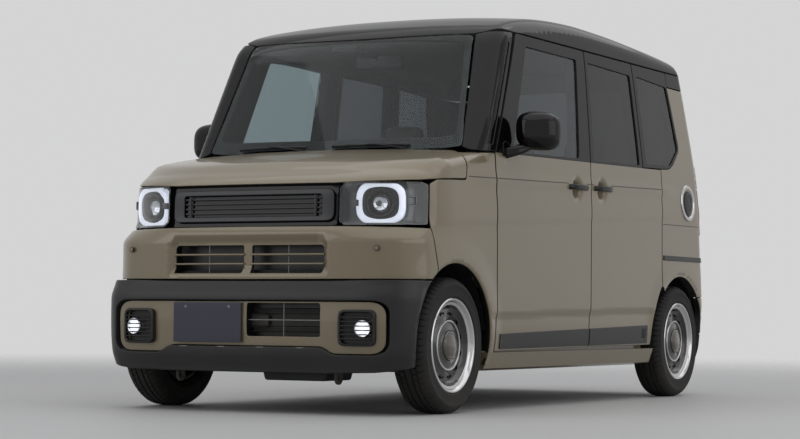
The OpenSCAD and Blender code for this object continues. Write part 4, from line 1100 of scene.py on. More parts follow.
soft_block("plate_blank", (-336, -1694, 284), (-8, -1688, 447), 2.4, "body", plate_slate)
for side in (-1, 1):
    turned(f"plate_screw_{'left' if side > 0 else 'right'}", [(0.1, 2.6), (4, 2.2), (6, 0.8), (6, -4)],
           frame_at((-172 + side * 105, -1693.4, 428.5), (0, -1, 0)), "body", casting, 20)
print("the black guard: done")

# %% [markdown]
# ## Grille and lamps
# Between the lamps a dark frame holds a rounded grey moulding with a barred slot.
# Each lamp is a dark bowl behind a clear cover, with a soft-cornered ring of light
# round a lens barrel. Depth makes a lamp look real, so every layer is modelled.

# %% Grille
recess("grille_back", [(-403, 757), (-403, 932), (403, 932), (403, 757)], head_on, "body", gloss_black, depth=16,
       shallow=2, corner=3)
moulding = [(-384, 776, 34), (-384, 906, 34), (384, 906, 34), (384, 776, 34)]
slot_line = [(-330, 797, 12), (-330, 884, 12), (330, 884, 12), (330, 797, 12)]
panel("grille_moulding", moulding, head_on, "body", frame_grey, dark_plastic, hide=("grille", "front_lamps"),
      holes=[slot_line], sink=4, depth=13, edge=4.0, step=16, hole_corner=12)
recess("grille_slot", slot_line, head_on, "body", sensor_black, depth=26, shallow=8, corner=12)
for k in range(4):
    z = 811 + 19.5 * k
    swept(f"grille_bar_{k}", [(x, -1624 + 6 * (x / 405) ** 2, z) for x in np.linspace(-326, 326, 15)],
          oval(14, 8.5, 10), "body", frame_grey)
for side in (-1, 1):
    swept(f"grille_end_{'left' if side > 0 else 'right'}", [(side * 300, -1630, z) for z in (800, 840, 882)],
          oval(10, 6, 10), "body", frame_grey, up=(0, 1, 0))
print("grille: done")

# %% Headlamps: bowl, ring, barrel and cover
lamp_line = [(s(408, -1630), 776, 3), (s(408, -1630), 914, 3), (s(428, -1624), 934, 4), (s(705, -1460), 936, 10),
             (s(729, -1437), 926, 8),
             (s(730, -1441), 800, 3), (s(731, -1446), 763, 14), (s(600, -1545), 759, 4), (s(432, -1623), 758, 4)]
recess("headlamp_bowl", lamp_line, round_nose, "body", lamp_house, depth=62, shallow=3, both=True, taper=3, step=14,
       corner=4)
panel("headlamp_cover", lamp_line, round_nose, "body", lamp_cover, both=True, sink=1.0, depth=3.2, edge=1.6, step=20)
inner_rim = [(s(417, -1628), 780, 3), (s(417, -1628), 910, 3), (s(433, -1622), 925, 4), (s(704, -1462), 927, 10),
             (s(722, -1440), 920, 8),
             (s(723, -1444), 800, 3), (s(723, -1450), 772, 14), (s(600, -1547), 768, 4), (s(436, -1622), 767, 4)]
panel("headlamp_rim", lamp_line, round_nose, "body", gloss_black, both=True, holes=[inner_rim], sink=4.6, depth=10,
      edge=0.8, step=16, hole_corner=4)

def squarish(w, h, power=3.4):
    """Radius share by angle for a rounded rectangle with half sizes w and h."""
    def share(a, i):
        return 1.0 / (np.abs(np.cos(a) / w) ** power + np.abs(np.sin(a) / h) ** power) ** (1 / power)
    return share

for side, sign in (("left", 1), ("right", -1)):
    eye = Vector((548, -1536, 849))
    look_out = Vector((0.30, -1.0, 0.0)).normalized()
    place = frame_at(eye, look_out)
    ring = squarish(0.90, 0.74)
    blend_ring = lambda a, i: ring(a, i) if i < 4 else 0.8 * ring(a, i) + 0.2
    turned(f"lamp_ring_{side}", [(112, -12), (112, 2), (108, 7), (103, 8), (84, 5), (82, 3)], place, "body", ring_light,
           96, squircle=blend_ring, mirror=sign < 0)
    turned(f"lamp_slope_{side}", [(84, 4.4), (79, 2), (66, -8), (58, -20), (56, -30)], place, "body", casting, 96,
           squircle=lambda a, i: 0.8 * ring(a, 0) + 0.2 if i < 1 else np.ones_like(a), mirror=sign < 0)
    turned(f"lamp_barrel_{side}", [(56, -14), (57, 6), (55, 10), (50, 9), (46, -8), (40, -16), (38, -10), (35, -6),
        (33, -14)], place, "body", sensor_black, 64, mirror=sign < 0)
    turned(f"lamp_lens_{side}", [(34, -12), (31, -3), (24, 5), (14, 9), (0.1, 10.5)], place, "body", lamp_cover, 48,
           mirror=sign < 0)
    turned(f"lamp_mirror_{side}", [(32, -14), (24, -24), (10, -30), (0.1, -31)], place, "body", chrome, 48,
           mirror=sign < 0)
    mark = frame_at(Vector((663, -1487, 858)), Vector((0.62, -0.78, 0)))
    turned(f"lamp_marker_{side}", [(20, 0), (20, 5), (17, 6), (15, 3), (14, -3), (0.1, -3)], mark, "body", casting, 48,
           squircle=lambda a, i: squarish(0.9, 0.9, 9)(a, i), mirror=sign < 0)
    soft_block(f"lamp_gap_{side}", (444, -1592, 836) if sign > 0 else (-468, -1592, 836),
        (468, -1572, 862) if sign > 0 else (-444, -1572, 862), 3, "body", lamp_house)
print("headlamps: done")

# %% Fog lamps: a square louvred bezel round each bulb
for side, sign in (("left", 1), ("right", -1)):
    centre = Vector((520, -1674, 348))
    out = Vector((0.13, -1, 0)).normalized()
    place = frame_at(centre, out)
    turned(f"fog_bezel_{side}", [(110, -16), (110, 4), (106, 9), (99, 10), (95, 6), (93, -14), (0.1, -16)], place,
           "body", guard_plastic, 96,
           squircle=lambda a, i: squarish(0.73, 0.66, 7)(a, i), mirror=sign < 0)
    for k in range(6):
        z = 305 + 17 * k
        swept(f"fog_louvre_{side}_{k}", [(sign * x, -1677 + (x - 520) * 0.14, z) for x in np.linspace(452, 588, 6)],
            oval(12, 5, 8), "body", guard_plastic)
    bulb = frame_at(Vector((546, -1672, 347)), out)
    turned(f"fog_bulb_{side}", [(0.1, 6), (12, 5), (22, 1), (29, -4), (30, -8)], bulb, "body", bulb_light, 48,
           mirror=sign < 0)
    turned(f"fog_collar_{side}", [(30, -10), (30, 5), (33, 6), (35, 3), (36, -10)], bulb, "body", chrome, 48,
           mirror=sign < 0)
print("fog lamps: done")

# %% [markdown]
# ## Wheels and tyres
# A steel wheel is a turned part, so its lip, dish and cap come from one profile
# swung round the axle. The tyre is turned too, but with many steps, and some of its
# rings dip at even angles, which cuts the tread into blocks.

# %% Tyre and wheel profiles, outwards from the middle of the wheel
tyre_half = [(179, 50), (181, 61), (188, 69), (199, 73.4), (202, 75.6), (206, 75.2), (224, 77.2), (243, 76.4),
             (245, 77.3), (248, 76.2), (258, 72.5),
             (266, 67), (271.5, 60), (275.6, 53), (277.3, 46), (277.9, 41), (273, 40), (273, 36.5), (278.2, 35.5),
             (278.5, 18), (272.5, 17), (272.5, 12), (278.5, 11), (278.5, 0.01)]
tyre_profile = tyre_half + [(r, -h) for r, h in tyre_half[::-1]]
BLOCKS = 64

def tread(a, i):
    k = i if i < len(tyre_half) else len(tyre_profile) - 1 - i
    step = (np.arange(len(a)) + (0 if i < len(tyre_half) else 3)) % (len(a) // BLOCKS)
    if 11 <= k <= 15:
        return np.where(step == 0, 0.983, 1.0)
    if k >= 18:
        return np.where((step == 2) & (k < 20), 0.984, 1.0)
    return np.ones_like(a)

lip = [(180, 52), (188, 60), (193.5, 66), (194.5, 71), (191, 74.2), (186, 73.6), (181, 69), (177, 62), (171, 58.5),
       (166.5, 57), (165.5, 55)]
dish = [(165.5, 55), (161, 47), (156, 38), (149, 33), (138, 33.5), (118, 40), (107, 46), (104, 50), (100, 51.5),
        (96, 50), (93, 46), (80, 47), (70, 50), (62, 54), (61, 40)]
hub_cap = [(60, 44), (60, 57), (57, 61), (50, 63.5), (47, 62.2), (44, 63.6), (30, 66.4), (14, 67.6), (0.1, 68)]
barrel_in = [(150, -70), (164, -66), (172, -60), (174, -20), (168, 10), (160, 30), (156, 38)]
for corner, x, y in (("front_left", 652.5, FRONT_AXLE), ("front_right", -652.5, FRONT_AXLE),
    ("rear_left", 652.5, REAR_AXLE), ("rear_right", -652.5, REAR_AXLE)):
    sign = 1 if x > 0 else -1
    axle = frame_at((x, y, WHEEL_Z), (sign, 0, 0))
    rides = f"wheel_{corner}"
    turned(f"tyre_{corner}_rubber", tyre_profile, axle, rides, rubber, BLOCKS * 6, squircle=tread,
           hide=(f"tyre_{corner}",))
    turned(f"wheel_{corner}_lip", lip, axle, rides, polished, 128, hide=(f"wheel_{corner}",))
    turned(f"wheel_{corner}_dish", dish, axle, rides, wheel_black, 128)
    turned(f"wheel_{corner}_ring", [(104.5, 49.6), (103.4, 52.2), (100.2, 53.2), (97, 52.2), (95.8, 49.4)], axle, rides,
           polished, 96)
    turned(f"wheel_{corner}_cap", hub_cap, axle, rides, cap_paint, 72)
    turned(f"wheel_{corner}_barrel", barrel_in, axle, rides, wheel_black, 72)
    # each vent is a shallow recess, not a hole: its black floor is painted shade for the dark seen through a real vent
    for k in range(12):
        a = (k + 0.5) * math.pi / 6
        middle = axle @ Vector((math.cos(a) * 131, math.sin(a) * 131, 37.5))
        away = (axle.to_3x3() @ Vector((math.cos(a), math.sin(a), 0)))
        slot_frame = frame_at(middle, axle.to_3x3() @ Vector((-math.cos(a) * 0.32, -math.sin(a) * 0.32, 1)), up=away)
        turned(f"wheel_{corner}_vent_{k}", [(15, -1.5), (14, 2.2), (12, 2.0), (10.5, -7), (0.1, -7.5)], slot_frame,
            rides, sensor_black, 20,
               squircle=lambda a, i: squarish(1.0, 0.55, 2.4)(a, i))
    valve = axle @ Vector((0, 158, 44))
    turned(f"wheel_{corner}_valve", [(4, -4), (4, 9), (3, 11), (0.1, 11.4)],
           frame_at(valve, axle.to_3x3() @ Vector((0, -0.2, 1))), rides, rubber, 12)
print("tyre and wheel profiles: done")

# %% [markdown]
# ## Trim along the sides
# Black strips guard the lower doors, black handles sit over their bowls, and the
# mirrors stand on the doors' front corners. Those on the front doors ride on them, so that they
# swing with them, and all stand a few millimetres proud of the paint.

# %% Lower strips, handles and mirrors
def strip(name, y0, y1, rides):
    low = lambda y: 259 + (y + 798) * 0.0078
    high = lambda y: 324 + (y + 798) * 0.0216
    panel(name, [(y0, low(y0), 8), (y0, high(y0), 8), (y1, high(y1), 8), (y1, low(y1), 8)], side_on, rides,
          guard_plastic,
          both=True, sink=-4.5, depth=4, edge=2.2, step=18, back=False)
strip("door_strip_front", -798, MID_Y - GAP - 1, "front_door_{}")
strip("door_strip_rear", MID_Y + GAP + 1, 862, "body")
for k in range(3):
    y = 790 + 18 * k
    panel(f"strip_line_{k}", [(y, 296, 2), (y + 3, 344, 2), (y + 8, 344, 2), (y + 5, 296, 2)], side_on, "body",
          gloss_black, both=True, sink=-6, depth=2, edge=0.8, step=20, back=False)

def handle(name, y, z, rides):
    path = [(727, y - 96, z - 1), (741, y - 90, z - 1), (750, y - 76, z), (753.5, y - 40, z + 0.5), (754, y, z + 1),
            (753.5, y + 40, z + 1.5), (750, y + 76, z + 2), (741, y + 90, z + 2), (727, y + 96, z + 2)]
    swept(name, path, oval(11, 25, 16, 2.8), rides, gloss_black, both=True, sharp=50)
handle("handle_front", MID_Y - 160, 989, "front_door_{}")
handle("handle_rear", MID_Y + 128, 997, "body")
for side, sign in (("left", 1), ("right", -1)):
    turned(f"handle_lock_{side}", [(8, -2), (8, 1.6), (6.5, 2.6), (0.1, 2.8)],
           frame_at((sign * 731.4, MID_Y - 48, 990), (sign, 0, 0.03)), f"front_door_{side}", gloss_black, 24)

def housing(x, y, z, cx=836.0, cy=-662.0, cz=1196.0, w=92.0, d=62.0, h=84.0):
    """A rounded shell: narrow and soft ahead, open and square behind."""
    return (cx + x * w * (1 - 0.10 * max(0, -y)), cy + y * d + 14 * x, cz + z * h * (1 - 0.12 * max(0, -y)) - 5 * x)

def ball_shell(name, at, rides, finish, power=3.2, rows=28, count=48, cut=0.72, hide=()):
    verts, faces = [], []
    for i in range(rows + 1):
        lat = -math.pi / 2 + (math.pi / 2 + math.asin(cut)) * i / rows
        for k in range(count):
            a = 2 * math.pi * k / count
            ax = (math.cos(lat) * math.cos(a), math.sin(lat), math.cos(lat) * math.sin(a))
            n = sum(abs(c) ** power for c in ax) ** (1 / power)
            verts.append(at(*(c / n for c in ax)))
    for i in range(rows):
        for k in range(count):
            faces.append((i * count + k, (i + 1) * count + k, (i + 1) * count + (k + 1) % count,
                i * count + (k + 1) % count))
    verts = np.array(verts)
    last = verts[-count:]
    inner = last + (last.mean(0) - last) * 0.10
    deep = inner - [0, 8, 0]
    base = len(verts)
    verts = np.vstack([verts, inner, deep, deep.mean(0)[None]])
    for k in range(count):
        j = (k + 1) % count
        faces += [(base - count + k, base + k, base + j, base - count + j),
            (base + k, base + count + k, base + count + j, base + j),
                  (base + count + k, base + 2 * count, base + count + j)]
    slots = [1 if max(f) >= base + 2 * count else 0 for f in faces]
    for side, sign in (("left", 1), ("right", -1)):
        ff = faces if sign < 0 else [f[::-1] for f in faces]
        crisp(mesh_piece(f"{name}_{side}", verts * [sign, 1, 1], ff, None, slots, [finish, chrome], rides.format(side),
            [h.format(side) for h in hide]), 40)
ball_shell("mirror_shell", housing, "front_door_{}", gloss_black, hide=("door_mirror_{}",))
swept("mirror_arm", [(724, -752, 1096), (738, -748, 1100), (756, -736, 1106), (778, -712, 1116), (798, -690, 1130),
    (812, -676, 1150)], oval(46, 26, 16), "front_door_{}", gloss_black, both=True, up=(0, 1, 0))
panel("mirror_foot", [(-800, 1080, 20), (-792, 1140, 16), (-760, 1150, 16), (-700, 1122, 20), (-690, 1090, 20)],
      side_on, "front_door_{}", gloss_black, both=True, sink=-5, depth=5, edge=2.4, step=16, back=False)
print("side trim done")

# %% [markdown]
# ## The rear
# The rear quarter, the lamps, the tailgate and the bumper all turn the same corner,
# so they are cut in the same strip round the tail. The tailgate rides on its own
# body, with its glass, and the lamps are bowls behind two coloured covers.

# %% Round trim, rail and seam on the rear quarter
def on_side(y, z, out=0.0):
    o, r = side_on(np.array([[y, z]], float))
    p = meet(body, o, r)
    n = normals_at(body, p)[0]
    return Vector(p[0] + n * out), Vector(n)

for side, sign in (("left", 1), ("right", -1)):
    at, out = on_side(1388, 984)
    place = frame_at(at, out)
    turned(f"quarter_ring_{side}", [(93, -5), (92.5, 2.5), (89, 5.6), (82, 6.8), (76, 5.6), (72, 1.5), (71, -5)], place,
           "body", polished, 96, mirror=sign < 0)
    turned(f"quarter_disc_{side}", [(71.5, -2), (66, 0.6), (60, 2.6), (30, 4.2), (0.1, 4.6)], place, "body",
           gloss_black, 72, mirror=sign < 0)
    turned(f"quarter_disc_rib_{side}", [(50, 2.0), (50, 4.4), (47, 5.2), (44, 4.6), (44, 2.4)], place, "body",
           sensor_black, 72, mirror=sign < 0)
rail = [(t(1052), 683, 6), (t(1052), 708, 6), (t(1604), 708, 6), (t(1604), 683, 6)]
panel("quarter_rail", rail, round_tail, "body", guard_plastic, both=True, sink=-5, depth=5, edge=2.4, step=18,
      back=False)
seam = [(t(REAR_Y + 9), 861, 1), (t(REAR_Y + 9), 865, 1), (t(1570), 869, 1), (t(1570), 865, 1)]
panel("quarter_seam", seam, round_tail, "body", sensor_black, both=True, sink=-0.3, depth=1, edge=0.3, step=26,
      back=False)
print("round trim: done")

# %% Tail lamps: a bowl with bars of light behind a clear and a red cover
lamp_out = lambda z: t(1530 + 36 * (1184 - z) / 364) - 4
def lamp_part(z0, z1, grow=0.0):
    return [(gate_s + 4 - grow, z0, 8), (gate_s + 4 - grow, z1, 8), (lamp_out(z1) + grow, z1, 8),
            (lamp_out(z0) + grow, z0, 8)]
recess("tail_lamp_bowl", lamp_part(824, 1180, 2), round_tail, "body", lamp_house, depth=34, shallow=4, both=True,
       step=14)
panel("tail_lamp_red", lamp_part(824, 1060), round_tail, "body", red_cover, both=True, hide=("tail_lamps",), sink=-3,
      depth=5, edge=3, step=14)
panel("tail_lamp_white", lamp_part(1063, 1180), round_tail, "body", white_cover, both=True, sink=-3, depth=5, edge=3,
      step=14)
tail_red = glow("tail light", (0.85, 0.02, 0.015), 0.35)
def around_tail(share, z, deep):
    u = gate_s + 4 + (lamp_out(z) - gate_s - 4) * share
    o, r = round_tail(np.array([[u, z]]))
    return tuple(meet(body, o, r)[0] - r[0] * deep)
for k, share in enumerate((0.28, 0.72)):
    swept(f"tail_bar_{k}", [around_tail(share, z, 16) for z in np.linspace(842, 1042, 9)], oval(9, 9, 10), "body",
          tail_red, both=True, up=(0, 1, 0))
swept("tail_bulb", [around_tail(0.5, z, 18) for z in np.linspace(1082, 1160, 5)], oval(20, 12, 12), "body", casting,
      both=True, up=(0, 1, 0))
print("tail lamps: done")

# %% Tailgate: painted skin, black frame, glass and its top
gate_edge = gate_s - 7

def gate_form(p):
    """The tailgate, with a sunk pan for its plate."""
    x, y, z = p.T
    d = edge_distance(x, z, 212, 548, 762, 24)
    return body(p) + np.where(y > 1500, 24 * np.clip(d / 24, 0, 1), 0)

gate_skin = whole([(0, 1118, 0), (gate_edge, 1118, 5), (gate_edge, 512, 12), (0, 512, 0)])
panel("tailgate_skin", gate_skin, round_tail, "tailgate", khaki, trim_dark, hide=("tailgate",), step=16, depth=34,
      form=gate_form)
gate_frame = whole([(0, 1700, 0), (300, 1692, 0), (500, 1668, 30), (gate_edge, 1640, 20), (gate_edge, 1122, 4),
    (0, 1122, 0)])
gate_pane = [(-588, 1152, 40), (-560, 1580, 50), (0, 1596, 0), (560, 1580, 50), (588, 1152, 40), (0, 1140, 0)]
panel("tailgate_frame", gate_frame, round_tail, "tailgate", gloss_black, trim_dark, holes=[gate_pane], step=24,
      depth=30)
panel("tailgate_pane", gate_pane, round_tail, "tailgate", privacy_glass, hide=("tailgate_window",), sink=5, depth=4.5,
      step=32, edge=0.8)
top_half = [(0, 1433, 0), (roof_u(679, 1643.5), 1433, 4), (roof_u(672, 1643.5), 1470, 20), (roof_u(560, 1690), 1482, 0),
            (0, 1484, 0)]
panel("tailgate_top", top_half[:-1] + [top_half[-1]] + [(-u, y, r) for u, y, r in top_half[1:-1][::-1]], over_roof,
      "tailgate", gloss_black, trim_dark, step=26, depth=26, corner=4)
spoil = [(x, 1512 - 3.4e-5 * x * x, 1706 - 22 * (abs(x) / 600) ** 2.4) for x in np.linspace(-596, 596, 31)]
swept("tailgate_spoiler", spoil, [(-34, 14), (-10, 19), (16, 17), (34, 8), (38, 0), (34, -6), (10, -10), (-30, -14),
    (-38, 0)], "tailgate", gloss_black, sharp=60)
swept("brake_light", [(x, 1545 - 3.4e-5 * x * x, 1704) for x in np.linspace(-130, 130, 9)], oval(8, 9, 10), "tailgate",
      red_cover)
tail_point = lambda x, z, out: tuple(meet(body, *tail_on(np.array([[x, z]], float)))[0] + np.array([0, out, 0]))
swept("tailgate_garnish", [tail_point(x, 806, 3) for x in np.linspace(-300, 300, 21)], oval(13, 46, 16, 3.6),
      "tailgate", gloss_black, sharp=50)
soft_block("rear_plate_blank", (-165, 1677, 572), (165, 1683, 737), 2.4, "tailgate", plate_slate,
           shape=lambda x, y, z: (x, y - (z - 655) * 0.06, z))
swept("rear_wiper_arm", [tail_point(x, z, out) for x, z,
    out in ((0, 1128, 6), (-60, 1136, 14), (-180, 1152, 14), (-300, 1172, 10))], oval(14, 11, 10), "tailgate",
    dark_plastic)
at = Vector(tail_point(0, 1130, 0))
turned("rear_wiper_hub", [(26, -4), (26, 8), (22, 13), (10, 15), (0.1, 15.4)], frame_at(at, (0, 1, 0.2)), "tailgate",
       gloss_black, 40)
print("tailgate: done")

# %% Rear bumper, its black lower part and reflectors
RR = 327.0
rear_cut = [(t(REAR_AXLE + RR * math.sin(math.radians(a))), WHEEL_Z + RR * math.cos(math.radians(a)),
             0) for a in np.linspace(47.5, 83, 20)]
rear_low = [(t(REAR_AXLE + RR * math.sin(math.radians(a))), WHEEL_Z + RR * math.cos(math.radians(a)),
             0) for a in np.linspace(84, 104, 12)]
panel("rear_bumper_skin", whole([(0, 500, 0), (t(1530), 500, 3), *rear_cut, (t(1612), 318, 3), (0, 312, 0)]),
      round_tail, "body", khaki, dark_plastic,
      hide=("rear_bumper",), step=18, depth=30)
panel("rear_bumper_lower", whole([(0, 308, 0), (t(1612), 314, 3), *rear_low, (t(1622), 196, 10), (0, 186, 0)]),
      round_tail, "body", guard_plastic, dark_plastic,
      step=20, depth=24, sink=2)
for side, sign in (("left", 1), ("right", -1)):
    swept(f"reflector_{side}", [tail_point(sign * x, 420, 1) for x in np.linspace(440, 560, 7)], oval(9, 24, 14, 3.4),
          "body", red_cover, sharp=50)
print("rear done")

# %% [markdown]
# ## Wipers and the foot of the windscreen
# The blades lie along the curved foot of the glass, so their paths follow its bow.
# The arms rise from small capped pivots and end over the middle of each blade.

# %% Wipers
def foot(x, z, out):
    return (x, SCREEN_Y + x * x / 4920 + (z - SCREEN_Z) / math.tan(SLOPE) - out, z)

for k, middle in enumerate((-255, 235)):
    swept(f"wiper_blade_{k}",
          [foot(x, 1116 + 7 * math.cos((x - middle) / 185), 9) for x in np.linspace(middle - 185, middle + 178, 25)],
          [(-4, -6), (-1.5, -2), (-4, 1), (-3.4, 5), (0, 7), (3.4, 5), (4, 1), (1.5, -2), (1, -6)], "body",
          dark_plastic, hide=("wipers",) if k == 0 else ())
    swept(f"wiper_arm_{k}", [foot(x, z, out) for x, z,
        out in ((middle + 184, 1097, 11), (middle + 160, 1106, 17), (middle + 90, 1118, 21), (middle + 20, 1127, 19),
            (middle - 14, 1128, 15))],
          oval(12, 7, 12), "body", dark_plastic, sharp=60)
    turned(f"wiper_pivot_{k}", [(15, -16), (15, 4), (12, 8), (5, 10), (0.1, 10.4)],
           frame_at(foot(middle + 184, 1097, 12), (0, -0.6, 1)), "body", dark_plastic, 28)
print("wipers: done")

# %% [markdown]
# ## Seats
# A seat pad is a closed form with a crown, pulled in between its corners, with sewn
# channels across the middle and raised bolsters at the sides. The form is a soft
# superellipsoid on a cube's grid, so its quads stay even, and seams are pressed in
# afterwards.

# %% One maker for pads
def pad(name, centre, half, length_way, face_way, rides="body", channels=(), bolster=0.0, square=6.0, round_=2.6,
        crown=0.12, n=26, hide=(), flat=0.86):
    grid = np.linspace(-1, 1, n + 1)
    gu, gv = np.meshgrid(grid, grid, indexing="ij")
    one = np.ones_like(gu)
    stacks, faces = [], []
    for k, block in enumerate([(gu, gv, one), (gv, gu, -one), (one, gu, gv), (-one, gv, gu), (gv, one, gu),
        (gu, -one, gv)]):
        base = k * (n + 1) ** 2
        stacks.append(np.stack([b.ravel() for b in block], 1))
        ids = base + np.arange((n + 1) ** 2).reshape(n + 1, n + 1)
        faces.append(np.stack([ids[:-1, :-1], ids[1:, :-1], ids[1:, 1:], ids[:-1, 1:]], -1).reshape(-1, 4))
    cube = np.vstack(stacks)
    a, b, c = np.abs(cube).T
    size = ((a ** square + b ** square) ** (round_ / square) + c ** round_) ** (1 / round_)
    soft = cube / size[:, None]
    a, b, c = soft.T
    top = smooth(0.15, 0.75, c)
    pull = 1 - 0.035 * (1 - b ** 2)
    a2 = a * np.where(np.abs(a) > 0.5, pull, 1)
    c2 = c * (1 + crown * (1 - a ** 2) * (1 - b ** 2)) / (1 + crown)
    valley = 0.07 * np.exp(-((np.abs(a) - 0.69) / 0.035) ** 2) * (np.abs(b) < 0.97)
    for line in channels:
        valley = valley + 0.075 * np.exp(-((b - line) / 0.022) ** 2) * (1 - smooth(0.62, 0.69, np.abs(a)))
    lift = bolster * smooth(0.70, 0.86, np.abs(a)) * (1 - smooth(0.93, 1.0, np.abs(a)))
    c2 = c2 * (1 - bolster) + top * (lift - valley)
    c2 = np.maximum(c2, -flat)
    length_way, face_way = Vector(length_way).normalized(), Vector(face_way).normalized()
    across = np.array([1.0, 0, 0])
    v = (np.array(centre) + np.outer(a2 * half[0], across) + np.outer(b * half[1],
        np.array(length_way)) + np.outer(c2 * half[2], np.array(face_way)))
    f = np.vstack(faces)
    mids = v[f].mean(1) - np.array(centre)
    look = np.cross(v[f[:, 1]] - v[f[:, 0]], v[f[:, 2]] - v[f[:, 0]])
    wrong = np.sum(look * mids, axis=1) < 0
    f[wrong] = f[wrong][:, ::-1]
    _, first, back_to = np.unique(np.round(v, 3), axis=0, return_index=True, return_inverse=True)
    f = back_to.reshape(-1)[f]
    middle_face = (np.abs(a[first][f]).mean(1) < 0.69) & (c[first][f].mean(1) > 0.2)
    piece = mesh_piece(name, v[first], f, None, np.where(middle_face, 0, 1), [seat_cloth, seat_side], rides, hide)
    return piece
print("one maker for pads: done")

# %% Front seats and the rear bench
def leaned(y0, z0, y1, z1):
    up = Vector((0, y1 - y0, z1 - z0)).normalized()
    return up, Vector((0, -up.z, up.y))

for side, x in (("left", 300), ("right", -300)):
    pad(f"front_cushion_{side}", (x, -213, 516), (250, 240, 76), (0, 1, 0.02), (0, -0.02, 1),
        channels=(-0.62, -0.36, -0.1, 0.16, 0.42), bolster=0.16,
        hide=("seats",) if side == "left" else ())
    up, face = leaned(-44, 570, 140, 1120)
    pad(f"front_back_{side}", (x, 122, 842), (246, 290, 72), up, face, channels=(-0.6, -0.36, -0.12, 0.12, 0.36, 0.6),
        bolster=0.2)
    up, face = leaned(0, 0, 30, 190)
    pad(f"front_headrest_{side}", (x, 217, 1228), (117, 92, 46), up, face, square=4.0, crown=0.2, bolster=0.0, n=20)
    for k, dx in enumerate((-62, 62)):
        swept(f"headrest_post_{side}_{k}", [(x + dx, 205, 1090), (x + dx, 214, 1140), (x + dx, 218, 1180)],
            oval(11, 11, 12), "body", chrome, up=(0, 1, 0))
    soft_block(f"seat_base_{side}", (x - 196, -400, 294), (x + 196, 12, 441), 22, "body", dark_plastic)
    up, face = leaned(888, 590, 1038, 1120)
    mid = 275.5 if x > 0 else -275.5
    pad(f"rear_cushion_{side}", (mid, 672, 528), (270, 220, 76), (0, 1, 0), (0, 0, 1), channels=(-0.5, -0.1, 0.3),
        bolster=0.05)
    pad(f"rear_back_{side}", (mid, 1020, 848), (270, 276, 58), up, face, channels=(-0.5, -0.16, 0.18, 0.52),
        bolster=0.05)
    up, face = leaned(0, 0, 20, 180)
    pad(f"rear_headrest_{side}", (280 if x > 0 else -280, 1103, 1212), (117, 88, 42), up, face, square=4.0, crown=0.2,
        n=20)
    for k, dx in enumerate((-58, 58)):
        swept(f"rear_post_{side}_{k}", [(mid + dx, 1080, 1090), (mid + dx, 1096, 1130), (mid + dx, 1104, 1170)],
            oval(11, 11, 12), "body", chrome, up=(0, 1, 0))
soft_block("rear_seat_base", (-546, 474, 294), (546, 884, 452), 26, "body", dark_plastic)
print("seats done")

# %% [markdown]
# ## Dashboard, steering wheel and cabin trim
# The dashboard is a moulded section swept across the cabin, with a hood over the
# dials, a display and vents. The steering wheel rides on its own body, and the
# mirror and the sensor cover hang from the top of the glass.

# %% Dashboard
dash_section = [(-900, 1012), (-888, 1034), (-840, 1040), (-772, 1038), (-752, 1026), (-742, 1004), (-744, 968),
    (-722, 950), (-704, 934), (-697, 905),
                (-700, 872), (-712, 856), (-712, 800), (-700, 784), (-698, 764), (-706, 720), (-732, 672), (-752, 664),
                (-900, 702)]
swept("dash_moulding", [(x, 0, 0) for x in (-580, -574, -400, -200, 0, 200, 400, 574, 580)],
      [(-y, z) for y, z in dash_section], "body", trim_dark, hide=("dashboard",), sharp=50)
swept("dash_band", [(x, -699 - 10 * (abs(x) / 560) ** 6, 828) for x in np.linspace(-560, 560, 41)],
      oval(14, 36, 14, 3.5), "body", frame_grey, sharp=50)
soft_block("dial_hood", (-500, -842, 1010), (-170, -716, 1066), 18, "body", dark_plastic)
soft_block("dial_face", (-478, -722, 966), (-192, -711, 1050), 4, "body", gloss_black)
soft_block("centre_display", (-112, -752, 948), (112, -735, 1074), 5, "body", gloss_black)
soft_block("shift_panel", (-110, -716, 742), (60, -676, 900), 12, "body", dark_plastic)
swept("shift_lever", [(-40, -680, 852), (-40, -660, 862), (-40, -636, 872)], oval(14, 14, 12), "body", casting)
for k, x in enumerate((-520, -146, 146, 520)):
    turned(f"dash_vent_{k}", [(36, -6), (36, 5), (33, 8), (29, 6), (27, -4), (0.1, -5)],
           frame_at((x, -716, 904), (0, 1, 0.1)), "body", dark_plastic, 40,
           squircle=lambda a, i: squarish(1.0, 0.72, 4)(a, i))
    for j in range(3):
        swept(f"dash_vent_blade_{k}_{j}", [(x - 27, -712, 891 + 13 * j), (x, -712, 891 + 13 * j),
            (x + 27, -712, 891 + 13 * j)], oval(8, 3, 8), "body", casting)
hub = Vector((-330, -609.5, 870))
to_driver = Vector((0, math.cos(math.radians(24)), math.sin(math.radians(24))))
column = frame_at(hub, to_driver)
turned("steering_column", [(9, 2), (9, -60), (30, -54), (34, -70), (38, -110), (40, -168)], column, "body", trim_dark,
       36)
print("dashboard: done")

# %% Steering wheel, on its own body
rim = [(178 + 15 * math.cos(q), 15.5 * math.sin(q)) for q in np.linspace(0, -2 * math.pi, 21)]
turned("steering_rim", rim, column, "steering_wheel", trim_dark, 96, hide=("steering_wheel",))
turned("steering_pad", [(14, -22), (44, -20), (58, -10), (62, 4), (58, 15), (44, 22), (20, 25), (0.1, 25.6)], column,
       "steering_wheel", trim_dark, 56,
       squircle=lambda a, i: squarish(1.05, 0.86, 3.2)(a, i))
turn3 = column.to_3x3()
for k, angle in enumerate((0, 180, 270)):
    way = turn3 @ Vector((math.cos(math.radians(angle)), math.sin(math.radians(angle)), 0))
    swept(f"steering_spoke_{k}", [tuple(hub + way * r + to_driver * h) for r,
        h in ((40, 4), (80, 2), (130, -2), (168, -1))], oval(34 if k < 2 else 26, 13, 16, 3), "steering_wheel",
          trim_dark if k < 2 else polished, up=tuple(to_driver), sharp=60)
print("steering wheel: done")

